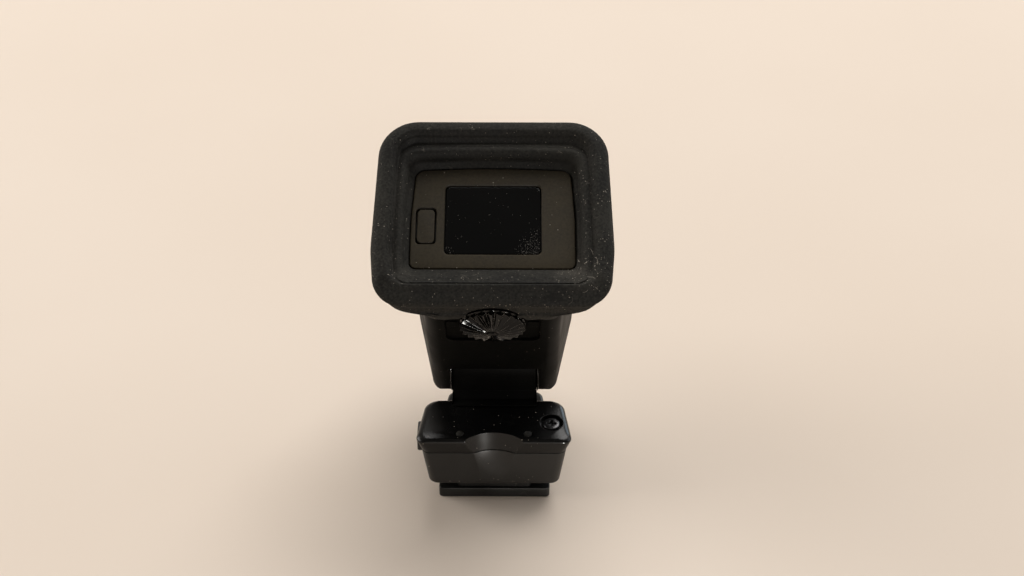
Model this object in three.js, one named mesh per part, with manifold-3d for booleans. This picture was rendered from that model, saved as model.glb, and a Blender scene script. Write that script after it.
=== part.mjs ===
// An electronic viewfinder on an accessory-shoe foot, its eyepiece tilted up.
// Lengths are in millimetres. +X is to the right for someone behind the finder, +Y points
// forward and +Z up. The origin is the centre of the foot's bottom face.
//
// The tilting tube is drawn in axes of its own: x across it, s back from its front face
// towards the eyepiece (s = -y), and t up from its underside (t = z). One group turns and
// places them all.

import * as THREE from 'three';
import { mergeVertices } from 'three/addons/utils/BufferGeometryUtils.js';
import Module from 'manifold-3d';

const wasm = await Module();
wasm.setup();

// Counts of facets and angles
const ARC_STEPS = 4;
const ROUND_SIDES = 20;
const LENS_SIDES = 28;
const SMALL_SIDES = 14;
const TILT_DEG = 62;

// Fits shared by all pieces
const SEAT_GAP = 0.15;
const RUNNING_GAP = 0.3;
const BORE_CLEARANCE = 0.1;
const OVERRUN = 1.5;
const SHEET_EDGE = 0.3;

// Accessory foot, and the neck that passes between the shoe's rails
const FOOT_WIDTH = 18.6;
const FOOT_LENGTH = 18.0;
const FOOT_THICKNESS = 2.0;
const FOOT_CORNER = 1.0;
const FOOT_BEVEL = 0.3;
const NECK_WIDTH = 12.4;
const NECK_HEIGHT = 1.5;
const NECK_INSET = 0.5;

// Contact block in the foot's front end
const CONTACT_BLOCK_WIDTH = 12.0;
const CONTACT_BLOCK_LENGTH = 3.6;
const CONTACT_BLOCK_HEIGHT = 1.4;
const CONTACT_COUNT = 11;
const CONTACT_LENGTH = 2.4;
const CONTACT_THICKNESS = 0.25;
const CONTACT_STEM = 1.0;

// Casing of the base: a full-height block behind, and a low shelf in front for the arm
const BASE_REAR = 9.6;
const BLOCK_FRONT = 0.7;
const SHELF_FRONT = 9.7;
const SHELF_HEIGHT = 4.0;
const SHELF_STEP = 0.4;
const CASE_HEIGHT = 6.8;
const BASE_HEIGHT = 9.9;
const CASE_LOW_HALF = 11.2;
const CASE_TOP_HALF = 12.2;
const COVER_TOP_HALF = 12.95;
const BASE_TAPER_SHARE = 0.14;
const BASE_LEAN = 0.3;
const BASE_REAR_CORNER = 1.5;
const BASE_FRONT_CORNER = 2.3;
const CASE_BOTTOM_ROUND = 0.6;
const COVER_EDGE_ROUND = 0.8;
const BASE_WALL = 1.1;
const COVER_SKIN = 1.1;

// Thumb scoop in the rear edge of the base
const SCOOP_RADIUS = 7.35;
const SCOOP_DEPTH = 1.7;
const SCOOP_REACH = 5.9;

// Cover screw, in its recess at the right, and the two rest pads
const COVER_SCREW_X = 9.5;
const MECHANISM_Y = -5.1;
const COVER_RECESS_RADIUS = 1.95;
const COVER_RECESS_DEPTH = 1.0;
const COVER_SCREW_HEAD = 1.4;
const COVER_SCREW_HEAD_HEIGHT = 0.7;
const COVER_SCREW_SHANK = 0.7;
const COVER_SCREW_LENGTH = 4.2;
const COVER_BOSS_RADIUS = 1.75;
const CROSS_WIDTH = 0.45;
const CROSS_SPAN = 1.6;
const CROSS_DEPTH = 0.45;
const PAD_X = 5.6;
const PAD_Y = -7.9;
const PAD_RADIUS = 0.6;
const PAD_STAND = 0.3;
const PAD_DEPTH = 0.6;

// Screws that clamp foot, neck and case together
const FOOT_SCREW_X = 4.6;
const FOOT_SCREW_REAR_Y = -0.8;
const FOOT_SCREW_FRONT_Y = 2.6;
const FOOT_SCREW_HEAD = 1.4;
const FOOT_SCREW_HEAD_HEIGHT = 0.7;
const FOOT_SCREW_SHANK = 0.65;
const FOOT_SCREW_LENGTH = 5.6;
const FOOT_BOSS_RADIUS = 1.4;
const FOOT_BOSS_HEIGHT = 2.6;

// Lock: a button on the left wall, a bell-crank lever and a pin through the foot
const BUTTON_LENGTH = 4.2;
const BUTTON_HEIGHT = 3.3;
const BUTTON_LOW = 8.7;
const BUTTON_FACE_X = -12.75;
const BUTTON_EDGE = 0.3;
const BUTTON_FLANGE_X = -8.8;
const BUTTON_FLANGE_THICKNESS = 0.6;
const BUTTON_FLANGE_LIP = 0.5;
const BUTTON_TRAVEL = 0.55;
const STEM_SIZE = 1.0;
const STEM_WIDTH = 1.6;
const STEM_BELOW_AXLE = 3.2;
const LEVER_AXLE_X = -5.6;
const LEVER_AXLE_Z = 9.2;
const LEVER_THICKNESS = 1.1;
const LEVER_WIDTH = 3.4;
const LEVER_END_X = 0.6;
const LEVER_SLOT_WIDTH = 2.4;
const LEVER_SLOT_REACH = 2.3;
const LEVER_AXLE_RADIUS = 0.5;
const LEVER_HUB_RADIUS = 1.2;
const LUG_THICKNESS = 0.7;
const LOCK_PIN_RADIUS = 0.85;
const LOCK_PIN_COLLAR = 1.7;
const LOCK_PIN_COLLAR_HEIGHT = 0.7;
const SPRING_RADIUS = 1.2;
const SPRING_WIRE = 0.14;
const SPRING_TURNS = 3;
const SPRING_STEPS = 12;
const SPRING_WIRE_SIDES = 5;

// Board, socket and ribbon in the base
const BOARD_THICKNESS = 0.8;
const BASE_BOARD_X = 1.6;
const BASE_BOARD_WIDTH = 5.6;
const BASE_BOARD_LENGTH = 7.1;
const BASE_BOARD_FRONT = -1.0;
const BASE_BOARD_Z = 7.2;
const SOCKET_HEIGHT = 1.1;
const SOCKET_LENGTH = 2.2;
const RIBBON_LEFT = 1.9;
const RIBBON_WIDTH = 2.5;
const RIBBON_THICKNESS = 0.3;
const RIBBON_SLOT_HALF = 0.9;

// Hinge: the arm that rises from the base, and the pivot that carries the tube
const PIVOT_Y = 5.83;
const PIVOT_Z = 17.8;
const BARREL_RADIUS = 4.5;
const ARM_HALF = 7.1;
const ARM_FOOT_HALF = 5.9;
const ARM_REAR_Y = 1.35;
const ARM_FRONT_Y = 8.4;
const ARM_FLANGE_REAR = 1.3;
const ARM_FLANGE_THICKNESS = 0.2;
const ARM_FLANGE_RISE = 1.0;
const ARM_NECK_HEIGHT = 4.4;
const ARM_JAW_DROP = 1.2;
const ARM_CHANNEL_HALF = 4.6;
const ARM_CHANNEL_LENGTH = 3.6;
const ARM_BORE_CAVITY = 2.6;
const HINGE_SCREW_SHANK = 1.4;
const HINGE_SCREW_HEAD = 1.9;
const HINGE_SCREW_HEAD_HEIGHT = 0.5;
const HINGE_SLOT_DEPTH = 0.25;
const WASHER_THICKNESS = 0.2;
const WASHER_RADIUS = 2.0;

// Tube: its housing in section, and along its length
const TUBE_FRONT_TO_PIVOT = 5.1;
const TUBE_UNDERSIDE_TO_PIVOT = 4.0;
const HOUSING_LENGTH = 31.8;
const HOUSING_LOW_HALF = 10.2;
const HOUSING_KNEE_HALF = 13.4;
const HOUSING_TOP_HALF = 13.0;
const HOUSING_KNEE = 14.0;
const HOUSING_TOP = 27.5;
const HOUSING_LOW_CORNER = 2.4;
const HOUSING_KNEE_REACH = 1.15;
const HOUSING_TOP_CORNER = 6.0;
const HOUSING_WALL = 1.2;
const HOUSING_FRONT_ROUND = 0.9;
const CHEEK_ROUND = 1.9;
const FRONT_COVER_LOW = 9.9;
const FRONT_COVER_THICKNESS = 1.3;

// Slot in the tube's underside that takes the arm, and the sheet-metal bracket round it
const SLOT_HALF = 7.4;
const SLOT_LENGTH = 10.8;
const SLOT_HEIGHT = 9.2;
const SLOT_WALL = 0.5;
const SLOT_ROOF = 1.5;
const BRACKET_THICKNESS = 0.5;
const BRACKET_EAR_HALF_LENGTH = 2.6;
const BRACKET_EAR_DROP = 1.7;
const BRACKET_TOP_THICKNESS = 0.6;
const BRACKET_SCREW_X = 4.6;
const BRACKET_SCREW_S = 5.2;
const BRACKET_SCREW_HEAD = 1.1;
const BRACKET_SCREW_HEAD_HEIGHT = 0.5;
const BRACKET_SCREW_SHANK = 0.5;
const BRACKET_SCREW_LENGTH = 1.7;

// Diopter dial on the underside, its shaft and its recess
const DIAL_S = 29.5;
const DIAL_RADIUS = 5.05;
const DIAL_RIM_STAND = 0.55;
const DIAL_PEAK_STAND = 1.7;
const DIAL_PEAK_RADIUS = 1.3;
const DIAL_SUNK = 0.3;
const DIAL_FLUTES = 22;
const DIAL_FLUTE_DEPTH = 0.35;
const DIAL_RECESS_HALF = 7.4;
const DIAL_RECESS_START = 22.8;
const DIAL_RECESS_DEPTH = 0.55;
const DIAL_RECESS_CORNER = 1.6;
const DIAL_SHAFT_RADIUS = 1.4;
const DIAL_SHAFT_TOP = 5.4;
const DIAL_CLIP_RADIUS = 2.3;
const DIAL_CLIP_THICKNESS = 0.4;
const ECCENTRIC_OFFSET = 0.85;
const ECCENTRIC_RADIUS = 0.5;
const ECCENTRIC_TOP = 7.6;

// Optical block: a chassis with the display at its front and the sliding lens carrier
const OPTIC_AXIS = 15.4;
const CHASSIS_HALF = 9.7;
const CHASSIS_HEIGHT = 19.6;
const CHASSIS_WALL = 1.0;
const CHASSIS_START = 12.6;
const CHASSIS_END = 30.2;
const DISPLAY_WIDTH = 14.6;
const DISPLAY_HEIGHT = 11.6;
const DISPLAY_THICKNESS = 1.3;
const DISPLAY_PLATE_THICKNESS = 0.6;
const GUIDE_ROD_RADIUS = 0.6;
const GUIDE_ROD_RISE = 7.2;
const GUIDE_ROD_OUT = 7.4;
const TONGUE_WALL = 0.5;
const CARRIER_START = 20.0;
const CARRIER_LENGTH = 7.6;
const CARRIER_SIDE_GAP = 0.3;
const LENS_RADIUS = 6.6;
const LENS_SEAT = 0.5;
const LENS_EDGE = 1.1;
const LENS_CROWN = 0.65;
const LENS_SPACER = 0.5;
const LENS_RING_THICKNESS = 0.6;
const TONGUE_THICKNESS = 1.0;
const CARRIER_GROOVE_CLEARANCE = 0.3;

// Board in the tube, over the slot
const FINDER_BOARD_HALF = 8.2;
const FINDER_BOARD_START = 2.8;
const FINDER_BOARD_LENGTH = 8.8;
const FINDER_BOARD_LIFT = 1.3;
const CHIP_SIZE = 5.0;
const CHIP_HEIGHT = 0.9;
const CHIP_S = 7.6;
const BOARD_POST_RADIUS = 1.0;
const BOARD_POST_X = 6.8;
const BOARD_POST_S = 9.6;

// Eyepiece: frame, panel, cover glass and eye sensor
const EYE_FRAME_FLANGE = 1.3;
const EYE_FRAME_PLUG = 1.4;
const PANEL_FACE = 34.6;
const PANEL_THICKNESS = 1.0;
const PANEL_LOW = 6.85;
const PANEL_TOP = 24.3;
const PANEL_LOW_HALF = 12.65;
const PANEL_TOP_HALF = 12.05;
const PANEL_LOW_CORNER = 1.0;
const PANEL_TOP_CORNER = 1.5;
const WINDOW_HALF = 7.5;
const WINDOW_LOW = 9.3;
const WINDOW_TOP = 21.3;
const WINDOW_CORNER = 0.8;
const GLASS_THICKNESS = 0.9;
const GLASS_RECESS = 0.25;
const SENSOR_X = -10.35;
const SENSOR_HALF = 1.6;
const SENSOR_LOW = 11.0;
const SENSOR_TOP = 17.3;
const SENSOR_CORNER = 0.7;
const SENSOR_MODULE_HALF = 1.2;
const SENSOR_MODULE_HEIGHT = 4.0;
const SENSOR_MODULE_DEPTH = 1.1;
const SENSOR_BOARD_THICKNESS = 0.5;

// Eyecup: the rubber round the eyepiece
const CUP_FACE = 38.1;
const CUP_LOW = -0.3;
const CUP_TOP = 31.45;
const CUP_LOW_HALF = 17.65;
const CUP_KNEE_HALF = 18.5;
const CUP_TOP_HALF = 17.75;
const CUP_KNEE = 9.0;
const CUP_LOW_CORNER = 4.8;
const CUP_KNEE_REACH = 1.35;
const CUP_TOP_CORNER = 6.2;
const CUP_WIDEST = 36.8;
const CUP_FLARE = 34.0;
const CUP_FLARE_INSET = 2.2;
const CUP_CROWN_INSET = 1.1;
const CUP_LIP_INSET = 2.6;
const CUP_LIP_DROP = 0.25;
const CUP_CREASE_INSET = 3.05;
const CUP_CREASE_DROP = 1.1;
const CUP_STEP = 36.7;
const CUP_STEP_LOW = 3.7;
const CUP_STEP_TOP = 26.9;
const CUP_STEP_HALF = 15.0;
const CUP_STEP_CORNER = 3.4;
const CUP_LIP_FOOT = 34.2;
const CUP_ARCH_CLEARANCE = 0.5;

// Places worked out from the sizes above
const BASE_BOTTOM = FOOT_THICKNESS + NECK_HEIGHT;
const CASE_TOP = BASE_BOTTOM + CASE_HEIGHT;
const BASE_TOP = BASE_BOTTOM + BASE_HEIGHT;
const SHELF_TOP = BASE_BOTTOM + SHELF_HEIGHT;
const CASE_FLOOR = BASE_BOTTOM + BASE_WALL;
const COVER_RECESS_FLOOR = BASE_TOP - COVER_RECESS_DEPTH;
const SLOT_TOP = SLOT_HEIGHT + SLOT_ROOF;
const BRACKET_INNER = SLOT_HALF + SLOT_WALL + SEAT_GAP;
const BRACKET_OUTER = BRACKET_INNER + BRACKET_THICKNESS;
const BRACKET_TOP_LOW = SLOT_TOP + SEAT_GAP;
const BRACKET_TOP_HIGH = BRACKET_TOP_LOW + BRACKET_TOP_THICKNESS;
const WASHER_INNER = BRACKET_OUTER + SEAT_GAP;
const HINGE_HEAD_INNER = WASHER_INNER + WASHER_THICKNESS + SEAT_GAP;
const HINGE_HEAD_OUTER = HINGE_HEAD_INNER + HINGE_SCREW_HEAD_HEIGHT;
const CHASSIS_LOW = OPTIC_AXIS - CHASSIS_HEIGHT / 2;
const CHASSIS_TOP = OPTIC_AXIS + CHASSIS_HEIGHT / 2;
const CHASSIS_INNER_HALF = CHASSIS_HALF - CHASSIS_WALL;
const CHASSIS_INNER_LOW = CHASSIS_LOW + CHASSIS_WALL;
const CHASSIS_INNER_TOP = CHASSIS_TOP - CHASSIS_WALL;
const CARRIER_HALF = CHASSIS_INNER_HALF - CARRIER_SIDE_GAP;
const CARRIER_LOW = CHASSIS_INNER_LOW + CARRIER_SIDE_GAP;
const CARRIER_HIGH = CHASSIS_INNER_TOP - CARRIER_SIDE_GAP;
const CARRIER_END = CARRIER_START + CARRIER_LENGTH;
const PANEL_BACK = PANEL_FACE - PANEL_THICKNESS;
const FLANGE_BACK = HOUSING_LENGTH + SEAT_GAP;
const FLANGE_FACE = FLANGE_BACK + EYE_FRAME_FLANGE;
const BOARD_LOW = BRACKET_TOP_HIGH + FINDER_BOARD_LIFT;
const BOARD_HIGH = BOARD_LOW + BOARD_THICKNESS;

const FINISHES = {
  caseBlack: { color: 0x1d1d1b, roughness: 0.42, metalness: 0.0 },
  coverBlack: { color: 0x101011, roughness: 0.24, metalness: 0.0 },
  tubeBlack: { color: 0x1a1a18, roughness: 0.5, metalness: 0.0 },
  rubber: { color: 0x2b2a27, roughness: 0.85, metalness: 0.0 },
  panel: { color: 0x3b352b, roughness: 0.6, metalness: 0.0 },
  footBlack: { color: 0x1b1b19, roughness: 0.4, metalness: 0.1 },
  glass: { color: 0x0b0b0d, roughness: 0.04, metalness: 0.0 },
  lens: { color: 0xcfdde2, roughness: 0.03, metalness: 0.0 },
  steel: { color: 0x9a9a98, roughness: 0.35, metalness: 0.9 },
  blackScrew: { color: 0x2a2a2b, roughness: 0.3, metalness: 0.8 },
  gold: { color: 0xc8a14a, roughness: 0.3, metalness: 0.9 },
  innerBlack: { color: 0x232323, roughness: 0.6, metalness: 0.0 },
  board: { color: 0x1f4a35, roughness: 0.5, metalness: 0.0 },
  chip: { color: 0x18181a, roughness: 0.5, metalness: 0.0 },
  ribbon: { color: 0x9a5a22, roughness: 0.45, metalness: 0.0 },
  display: { color: 0x0d1018, roughness: 0.1, metalness: 0.0 },
  dial: { color: 0x121212, roughness: 0.15, metalness: 0.0 },
};

// Outlines: closed lists of [a, b] points, counterclockwise

// Rounds each corner [a, b, radius] of a polygon with an arc of ARC_STEPS chords.
function roundedOutline(corners) {
  const points = [];
  corners.forEach(([a, b, radius], i) => {
    const corner = new THREE.Vector2(a, b);
    const before = new THREE.Vector2(...corners.at(i - 1));
    const after = new THREE.Vector2(...corners[(i + 1) % corners.length]);
    const toBefore = before.sub(corner).normalize();
    const toAfter = after.sub(corner).normalize();
    const half = Math.acos(THREE.MathUtils.clamp(toBefore.dot(toAfter), -1, 1)) / 2;
    const centre = toBefore.clone().add(toAfter).normalize();
    centre.multiplyScalar(radius / Math.sin(half)).add(corner);
    const start = toBefore.multiplyScalar(radius / Math.tan(half)).add(corner).sub(centre);
    const turn = Math.PI - 2 * half;
    for (let k = 0; k <= ARC_STEPS; k += 1) {
      const point = start.clone().rotateAround(new THREE.Vector2(), (turn * k) / ARC_STEPS);
      points.push([point.x + centre.x, point.y + centre.y]);
    }
  });
  return points;
}

// A rectangle's outline with rounded corners.
function roundedRectangle(aLow, aHigh, bLow, bHigh, radius) {
  return roundedOutline([
    [aLow, bLow, radius],
    [aHigh, bLow, radius],
    [aHigh, bHigh, radius],
    [aLow, bHigh, radius],
  ]);
}

// A six-cornered outline, symmetric about a = 0: low corners, side knees and top corners.
// A knee's arc takes up kneeReach of each side, so its radius follows from the angle there.
function sectionOutline(section) {
  const { low, knee, top, lowHalf, kneeHalf, topHalf, lowRadius, kneeReach, topRadius } = section;
  const leanBelow = Math.atan2(kneeHalf - lowHalf, knee - low);
  const leanAbove = Math.atan2(kneeHalf - topHalf, top - knee);
  const kneeRadius = kneeReach / Math.tan((leanBelow + leanAbove) / 2);
  return roundedOutline([
    [-lowHalf, low, lowRadius],
    [lowHalf, low, lowRadius],
    [kneeHalf, knee, kneeRadius],
    [topHalf, top, topRadius],
    [-topHalf, top, topRadius],
    [-kneeHalf, knee, kneeRadius],
  ]);
}

// The same section, drawn in by a distance all round.
function inset(section, by) {
  const drawn = { ...section };
  drawn.low += by;
  drawn.top -= by;
  drawn.lowHalf -= by;
  drawn.kneeHalf -= by;
  drawn.topHalf -= by;
  drawn.lowRadius = Math.max(section.lowRadius - by, SHEET_EDGE);
  drawn.topRadius = Math.max(section.topRadius - by, SHEET_EDGE);
  return drawn;
}

const HOUSING_SECTION = {
  low: 0,
  knee: HOUSING_KNEE,
  top: HOUSING_TOP,
  lowHalf: HOUSING_LOW_HALF,
  kneeHalf: HOUSING_KNEE_HALF,
  topHalf: HOUSING_TOP_HALF,
  lowRadius: HOUSING_LOW_CORNER,
  kneeReach: HOUSING_KNEE_REACH,
  topRadius: HOUSING_TOP_CORNER,
};

const CUP_SECTION = {
  low: CUP_LOW,
  knee: CUP_KNEE,
  top: CUP_TOP,
  lowHalf: CUP_LOW_HALF,
  kneeHalf: CUP_KNEE_HALF,
  topHalf: CUP_TOP_HALF,
  lowRadius: CUP_LOW_CORNER,
  kneeReach: CUP_KNEE_REACH,
  topRadius: CUP_TOP_CORNER,
};

const PANEL_SECTION = {
  low: PANEL_LOW,
  knee: OPTIC_AXIS,
  top: PANEL_TOP,
  lowHalf: PANEL_LOW_HALF,
  kneeHalf: PANEL_LOW_HALF,
  topHalf: PANEL_TOP_HALF,
  lowRadius: PANEL_LOW_CORNER,
  kneeReach: CUP_KNEE_REACH,
  topRadius: PANEL_TOP_CORNER,
};

const CUP_STEP_SECTION = {
  low: CUP_STEP_LOW,
  knee: OPTIC_AXIS,
  top: CUP_STEP_TOP,
  lowHalf: CUP_STEP_HALF,
  kneeHalf: CUP_STEP_HALF,
  topHalf: CUP_STEP_HALF - SHEET_EDGE,
  lowRadius: CUP_STEP_CORNER,
  kneeReach: CUP_KNEE_REACH,
  topRadius: CUP_STEP_CORNER,
};

// Solids: every function below gives one or more closed bodies

// Turns a closed geometry into a solid, the right way out.
function solid(geometry) {
  const bare = geometry.clone();
  bare.deleteAttribute('normal');
  bare.deleteAttribute('uv');
  const merged = mergeVertices(bare);
  const vertProperties = new Float32Array(merged.attributes.position.array);
  const triVerts = new Uint32Array(merged.index.array);
  return new wasm.Manifold(new wasm.Mesh({ numProp: 3, vertProperties, triVerts }));
}

// Six times the volume inside a list of triangles.
function signedVolume(positions, index) {
  const [p, q, r] = [new THREE.Vector3(), new THREE.Vector3(), new THREE.Vector3()];
  let total = 0;
  for (let i = 0; i < index.length; i += 3) {
    p.fromArray(positions, 3 * index[i]);
    q.fromArray(positions, 3 * index[i + 1]);
    r.fromArray(positions, 3 * index[i + 2]);
    total += p.dot(q.cross(r));
  }
  return total;
}

// Joins rings of equal point counts, [x, y, z] each, into one skin. A closed loft runs back
// to its first ring, and an open one is capped flat at both ends.
function loft(rings, closed = false) {
  const count = rings[0].length;
  const positions = rings.flat(2);
  const index = [];
  const last = closed ? rings.length : rings.length - 1;
  for (let i = 0; i < last; i += 1) {
    const here = i * count;
    const there = ((i + 1) % rings.length) * count;
    for (let k = 0; k < count; k += 1) {
      const next = (k + 1) % count;
      index.push(here + k, here + next, there + next, here + k, there + next, there + k);
    }
  }
  if (!closed) {
    capRing(rings, 0, index, true);
    capRing(rings, rings.length - 1, index, false);
  }
  if (signedVolume(positions, index) < 0) index.reverse();
  const geometry = new THREE.BufferGeometry();
  geometry.setAttribute('position', new THREE.Float32BufferAttribute(positions, 3));
  geometry.setIndex(index);
  return solid(geometry);
}

// Adds the triangles of a flat cap over one ring. Corners in rising order run the ring's way.
function capRing(rings, at, index, flipped) {
  const ring = rings[at];
  const base = at * ring.length;
  THREE.ShapeUtils.triangulateShape(flatten(ring), []).forEach((triangle) => {
    const [a, b, c] = triangle.sort((p, q) => p - q);
    if (flipped) index.push(base + c, base + b, base + a);
    else index.push(base + a, base + b, base + c);
  });
}

// Drops the axis along which a ring is flat.
function flatten(ring) {
  const box = new THREE.Box3().setFromPoints(ring.map((p) => new THREE.Vector3(...p)));
  const size = box.getSize(new THREE.Vector3());
  if (size.z <= size.x && size.z <= size.y) return ring.map(([x, y]) => new THREE.Vector2(x, y));
  if (size.y <= size.x) return ring.map(([x, , z]) => new THREE.Vector2(x, z));
  return ring.map(([, y, z]) => new THREE.Vector2(y, z));
}

// An outline in x and y, extruded between two heights.
function uprightPrism(outline, from, to) {
  return loft([outline.map(([x, y]) => [x, y, from]), outline.map(([x, y]) => [x, y, to])]);
}

// An outline in x and t, extruded along the tube from one s to another.
function tubePrism(outline, from, to) {
  return loft([outline.map(([x, t]) => [x, -from, t]), outline.map(([x, t]) => [x, -to, t])]);
}

// An outline in y and z, extruded across x.
function sidePrism(outline, from, to) {
  return loft([outline.map(([y, z]) => [from, y, z]), outline.map(([y, z]) => [to, y, z])]);
}

// A ring of one of the tube's sections, at s.
function tubeRing(section, s) {
  return sectionOutline(section).map(([x, t]) => [x, -s, t]);
}

function block([xLow, xHigh], [yLow, yHigh], [zLow, zHigh]) {
  const box = new THREE.BoxGeometry(xHigh - xLow, yHigh - yLow, zHigh - zLow);
  box.translate((xLow + xHigh) / 2, (yLow + yHigh) / 2, (zLow + zHigh) / 2);
  return solid(box);
}

// A block in the tube's own axes: x, s and t ranges.
function tubeBlock([xLow, xHigh], [sLow, sHigh], [tLow, tHigh]) {
  return block([xLow, xHigh], [-sHigh, -sLow], [tLow, tHigh]);
}

// A cylinder along x, y or z, between two places on that axis.
function rod(axis, radius, from, to, [a, b], sides = SMALL_SIDES) {
  const cylinder = new THREE.CylinderGeometry(radius, radius, to - from, sides);
  const middle = (from + to) / 2;
  if (axis === 'x') return solid(cylinder.rotateZ(-Math.PI / 2).translate(middle, a, b));
  if (axis === 'y') return solid(cylinder.translate(a, middle, b));
  return solid(cylinder.rotateX(Math.PI / 2).translate(a, b, middle));
}

// A body of revolution about z, from a profile of [radius, z] that starts and ends on the axis.
function turned(profile, sides, [x, y, z]) {
  const points = profile.map(([radius, height]) => new THREE.Vector2(radius, height));
  const lathe = new THREE.LatheGeometry(points, sides);
  const made = lathe.rotateX(Math.PI / 2).translate(x, y, z);
  const position = made.attributes.position.array;
  const index = Array.from(made.index.array);
  if (signedVolume(position, index) < 0) made.setIndex(index.reverse());
  return solid(made);
}

// A cross slot that a screwdriver fits, cut downwards from a face at z.
function crossCutter(x, y, z) {
  const half = CROSS_WIDTH / 2;
  const reach = CROSS_SPAN / 2;
  const heights = [z - CROSS_DEPTH, z + OVERRUN];
  const across = block([x - reach, x + reach], [y - half, y + half], heights);
  return across.add(block([x - half, x + half], [y - reach, y + reach], heights));
}

// Group nodes

const viewfinder = new THREE.Group();
viewfinder.name = 'electronic_viewfinder';

const tilt = new THREE.Group();
tilt.position.set(0, PIVOT_Y, PIVOT_Z);
tilt.rotation.x = -THREE.MathUtils.degToRad(TILT_DEG);
viewfinder.add(tilt);

const tube = new THREE.Group();
tube.position.set(0, TUBE_FRONT_TO_PIVOT, -TUBE_UNDERSIDE_TO_PIVOT);
tilt.add(tube);

// Makes one named mesh of a solid and puts it in a group.
function place(group, name, made, finish) {
  const { numProp, vertProperties, triVerts } = made.getMesh();
  const positions = new Float32Array((vertProperties.length / numProp) * 3);
  for (let i = 0; i < positions.length / 3; i += 1) {
    positions.set(vertProperties.subarray(i * numProp, i * numProp + 3), i * 3);
  }
  const geometry = new THREE.BufferGeometry();
  geometry.setAttribute('position', new THREE.BufferAttribute(positions, 3));
  geometry.setIndex(new THREE.BufferAttribute(new Uint32Array(triVerts), 1));
  geometry.computeVertexNormals();
  const mesh = new THREE.Mesh(geometry, new THREE.MeshStandardMaterial(FINISHES[finish]));
  mesh.name = name;
  group.add(mesh);
}

// Foot

const FOOT_REAR_Y = -FOOT_LENGTH / 2;
const FOOT_FRONT_Y = FOOT_LENGTH / 2;
const CONTACT_BLOCK_REAR = FOOT_FRONT_Y - CONTACT_BLOCK_LENGTH;
const FOOT_SCREWS = [
  [-FOOT_SCREW_X, FOOT_SCREW_REAR_Y],
  [FOOT_SCREW_X, FOOT_SCREW_REAR_Y],
  [-FOOT_SCREW_X, FOOT_SCREW_FRONT_Y],
  [FOOT_SCREW_X, FOOT_SCREW_FRONT_Y],
];

function footScrewHole([x, y]) {
  return rod('z', FOOT_SCREW_SHANK + SEAT_GAP, -OVERRUN, BASE_TOP, [x, y]);
}

function lockPinHole() {
  return rod('z', LOCK_PIN_RADIUS + SEAT_GAP, -OVERRUN, CASE_FLOOR + OVERRUN, [0, MECHANISM_Y]);
}

function shoeFoot() {
  const half = FOOT_WIDTH / 2;
  const plan = (by) => roundedRectangle(
    by - half, half - by, FOOT_REAR_Y + by, FOOT_FRONT_Y - by, FOOT_CORNER,
  );
  let plate = loft([
    ring(plan(FOOT_BEVEL), 0),
    ring(plan(0), FOOT_BEVEL),
    ring(plan(0), FOOT_THICKNESS - FOOT_BEVEL),
    ring(plan(FOOT_BEVEL), FOOT_THICKNESS),
  ]);
  const pocketHalf = CONTACT_BLOCK_WIDTH / 2 + SEAT_GAP;
  plate = plate.subtract(block(
    [-pocketHalf, pocketHalf],
    [CONTACT_BLOCK_REAR - SEAT_GAP, FOOT_FRONT_Y + OVERRUN],
    [-OVERRUN, CONTACT_BLOCK_HEIGHT + SEAT_GAP],
  ));
  FOOT_SCREWS.forEach(([x, y]) => {
    plate = plate.subtract(footScrewHole([x, y]));
    const counterbore = FOOT_SCREW_HEAD_HEIGHT + SEAT_GAP + SEAT_GAP;
    plate = plate.subtract(rod('z', FOOT_SCREW_HEAD + SEAT_GAP, -OVERRUN, counterbore, [x, y]));
  });
  return plate.subtract(lockPinHole());
}

function footNeck() {
  const half = NECK_WIDTH / 2;
  const outline = roundedRectangle(
    -half, half, FOOT_REAR_Y + NECK_INSET, FOOT_FRONT_Y - NECK_INSET, FOOT_CORNER,
  );
  let neck = uprightPrism(outline, FOOT_THICKNESS, BASE_BOTTOM);
  FOOT_SCREWS.forEach((at) => {
    neck = neck.subtract(footScrewHole(at));
  });
  return neck.subtract(lockPinHole());
}

function contactBlock() {
  const half = CONTACT_BLOCK_WIDTH / 2;
  const heights = [FOOT_BEVEL, CONTACT_BLOCK_HEIGHT];
  let carrier = block([-half, half], [CONTACT_BLOCK_REAR, FOOT_FRONT_Y - FOOT_BEVEL], heights);
  const recess = [FOOT_BEVEL - OVERRUN, FOOT_BEVEL + CONTACT_THICKNESS + SEAT_GAP];
  const inner = half - CONTACT_STEM;
  carrier = carrier.subtract(block(
    [-inner, inner], [CONTACT_BLOCK_REAR + CONTACT_STEM / 2, FOOT_FRONT_Y + OVERRUN], recess,
  ));
  return carrier;
}

function contactComb() {
  const span = CONTACT_BLOCK_WIDTH - 2 * CONTACT_STEM - 2 * SEAT_GAP;
  const pitch = span / CONTACT_COUNT;
  const finger = pitch - 2 * SEAT_GAP;
  const heights = [FOOT_BEVEL, FOOT_BEVEL + CONTACT_THICKNESS];
  const rear = CONTACT_BLOCK_REAR + CONTACT_STEM / 2 + SEAT_GAP;
  let comb = block([-span / 2, span / 2], [rear, rear + CONTACT_THICKNESS], heights);
  for (let i = 0; i < CONTACT_COUNT; i += 1) {
    const low = -span / 2 + i * pitch + SEAT_GAP;
    comb = comb.add(block([low, low + finger], [rear, rear + CONTACT_LENGTH], heights));
  }
  return comb;
}

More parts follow.
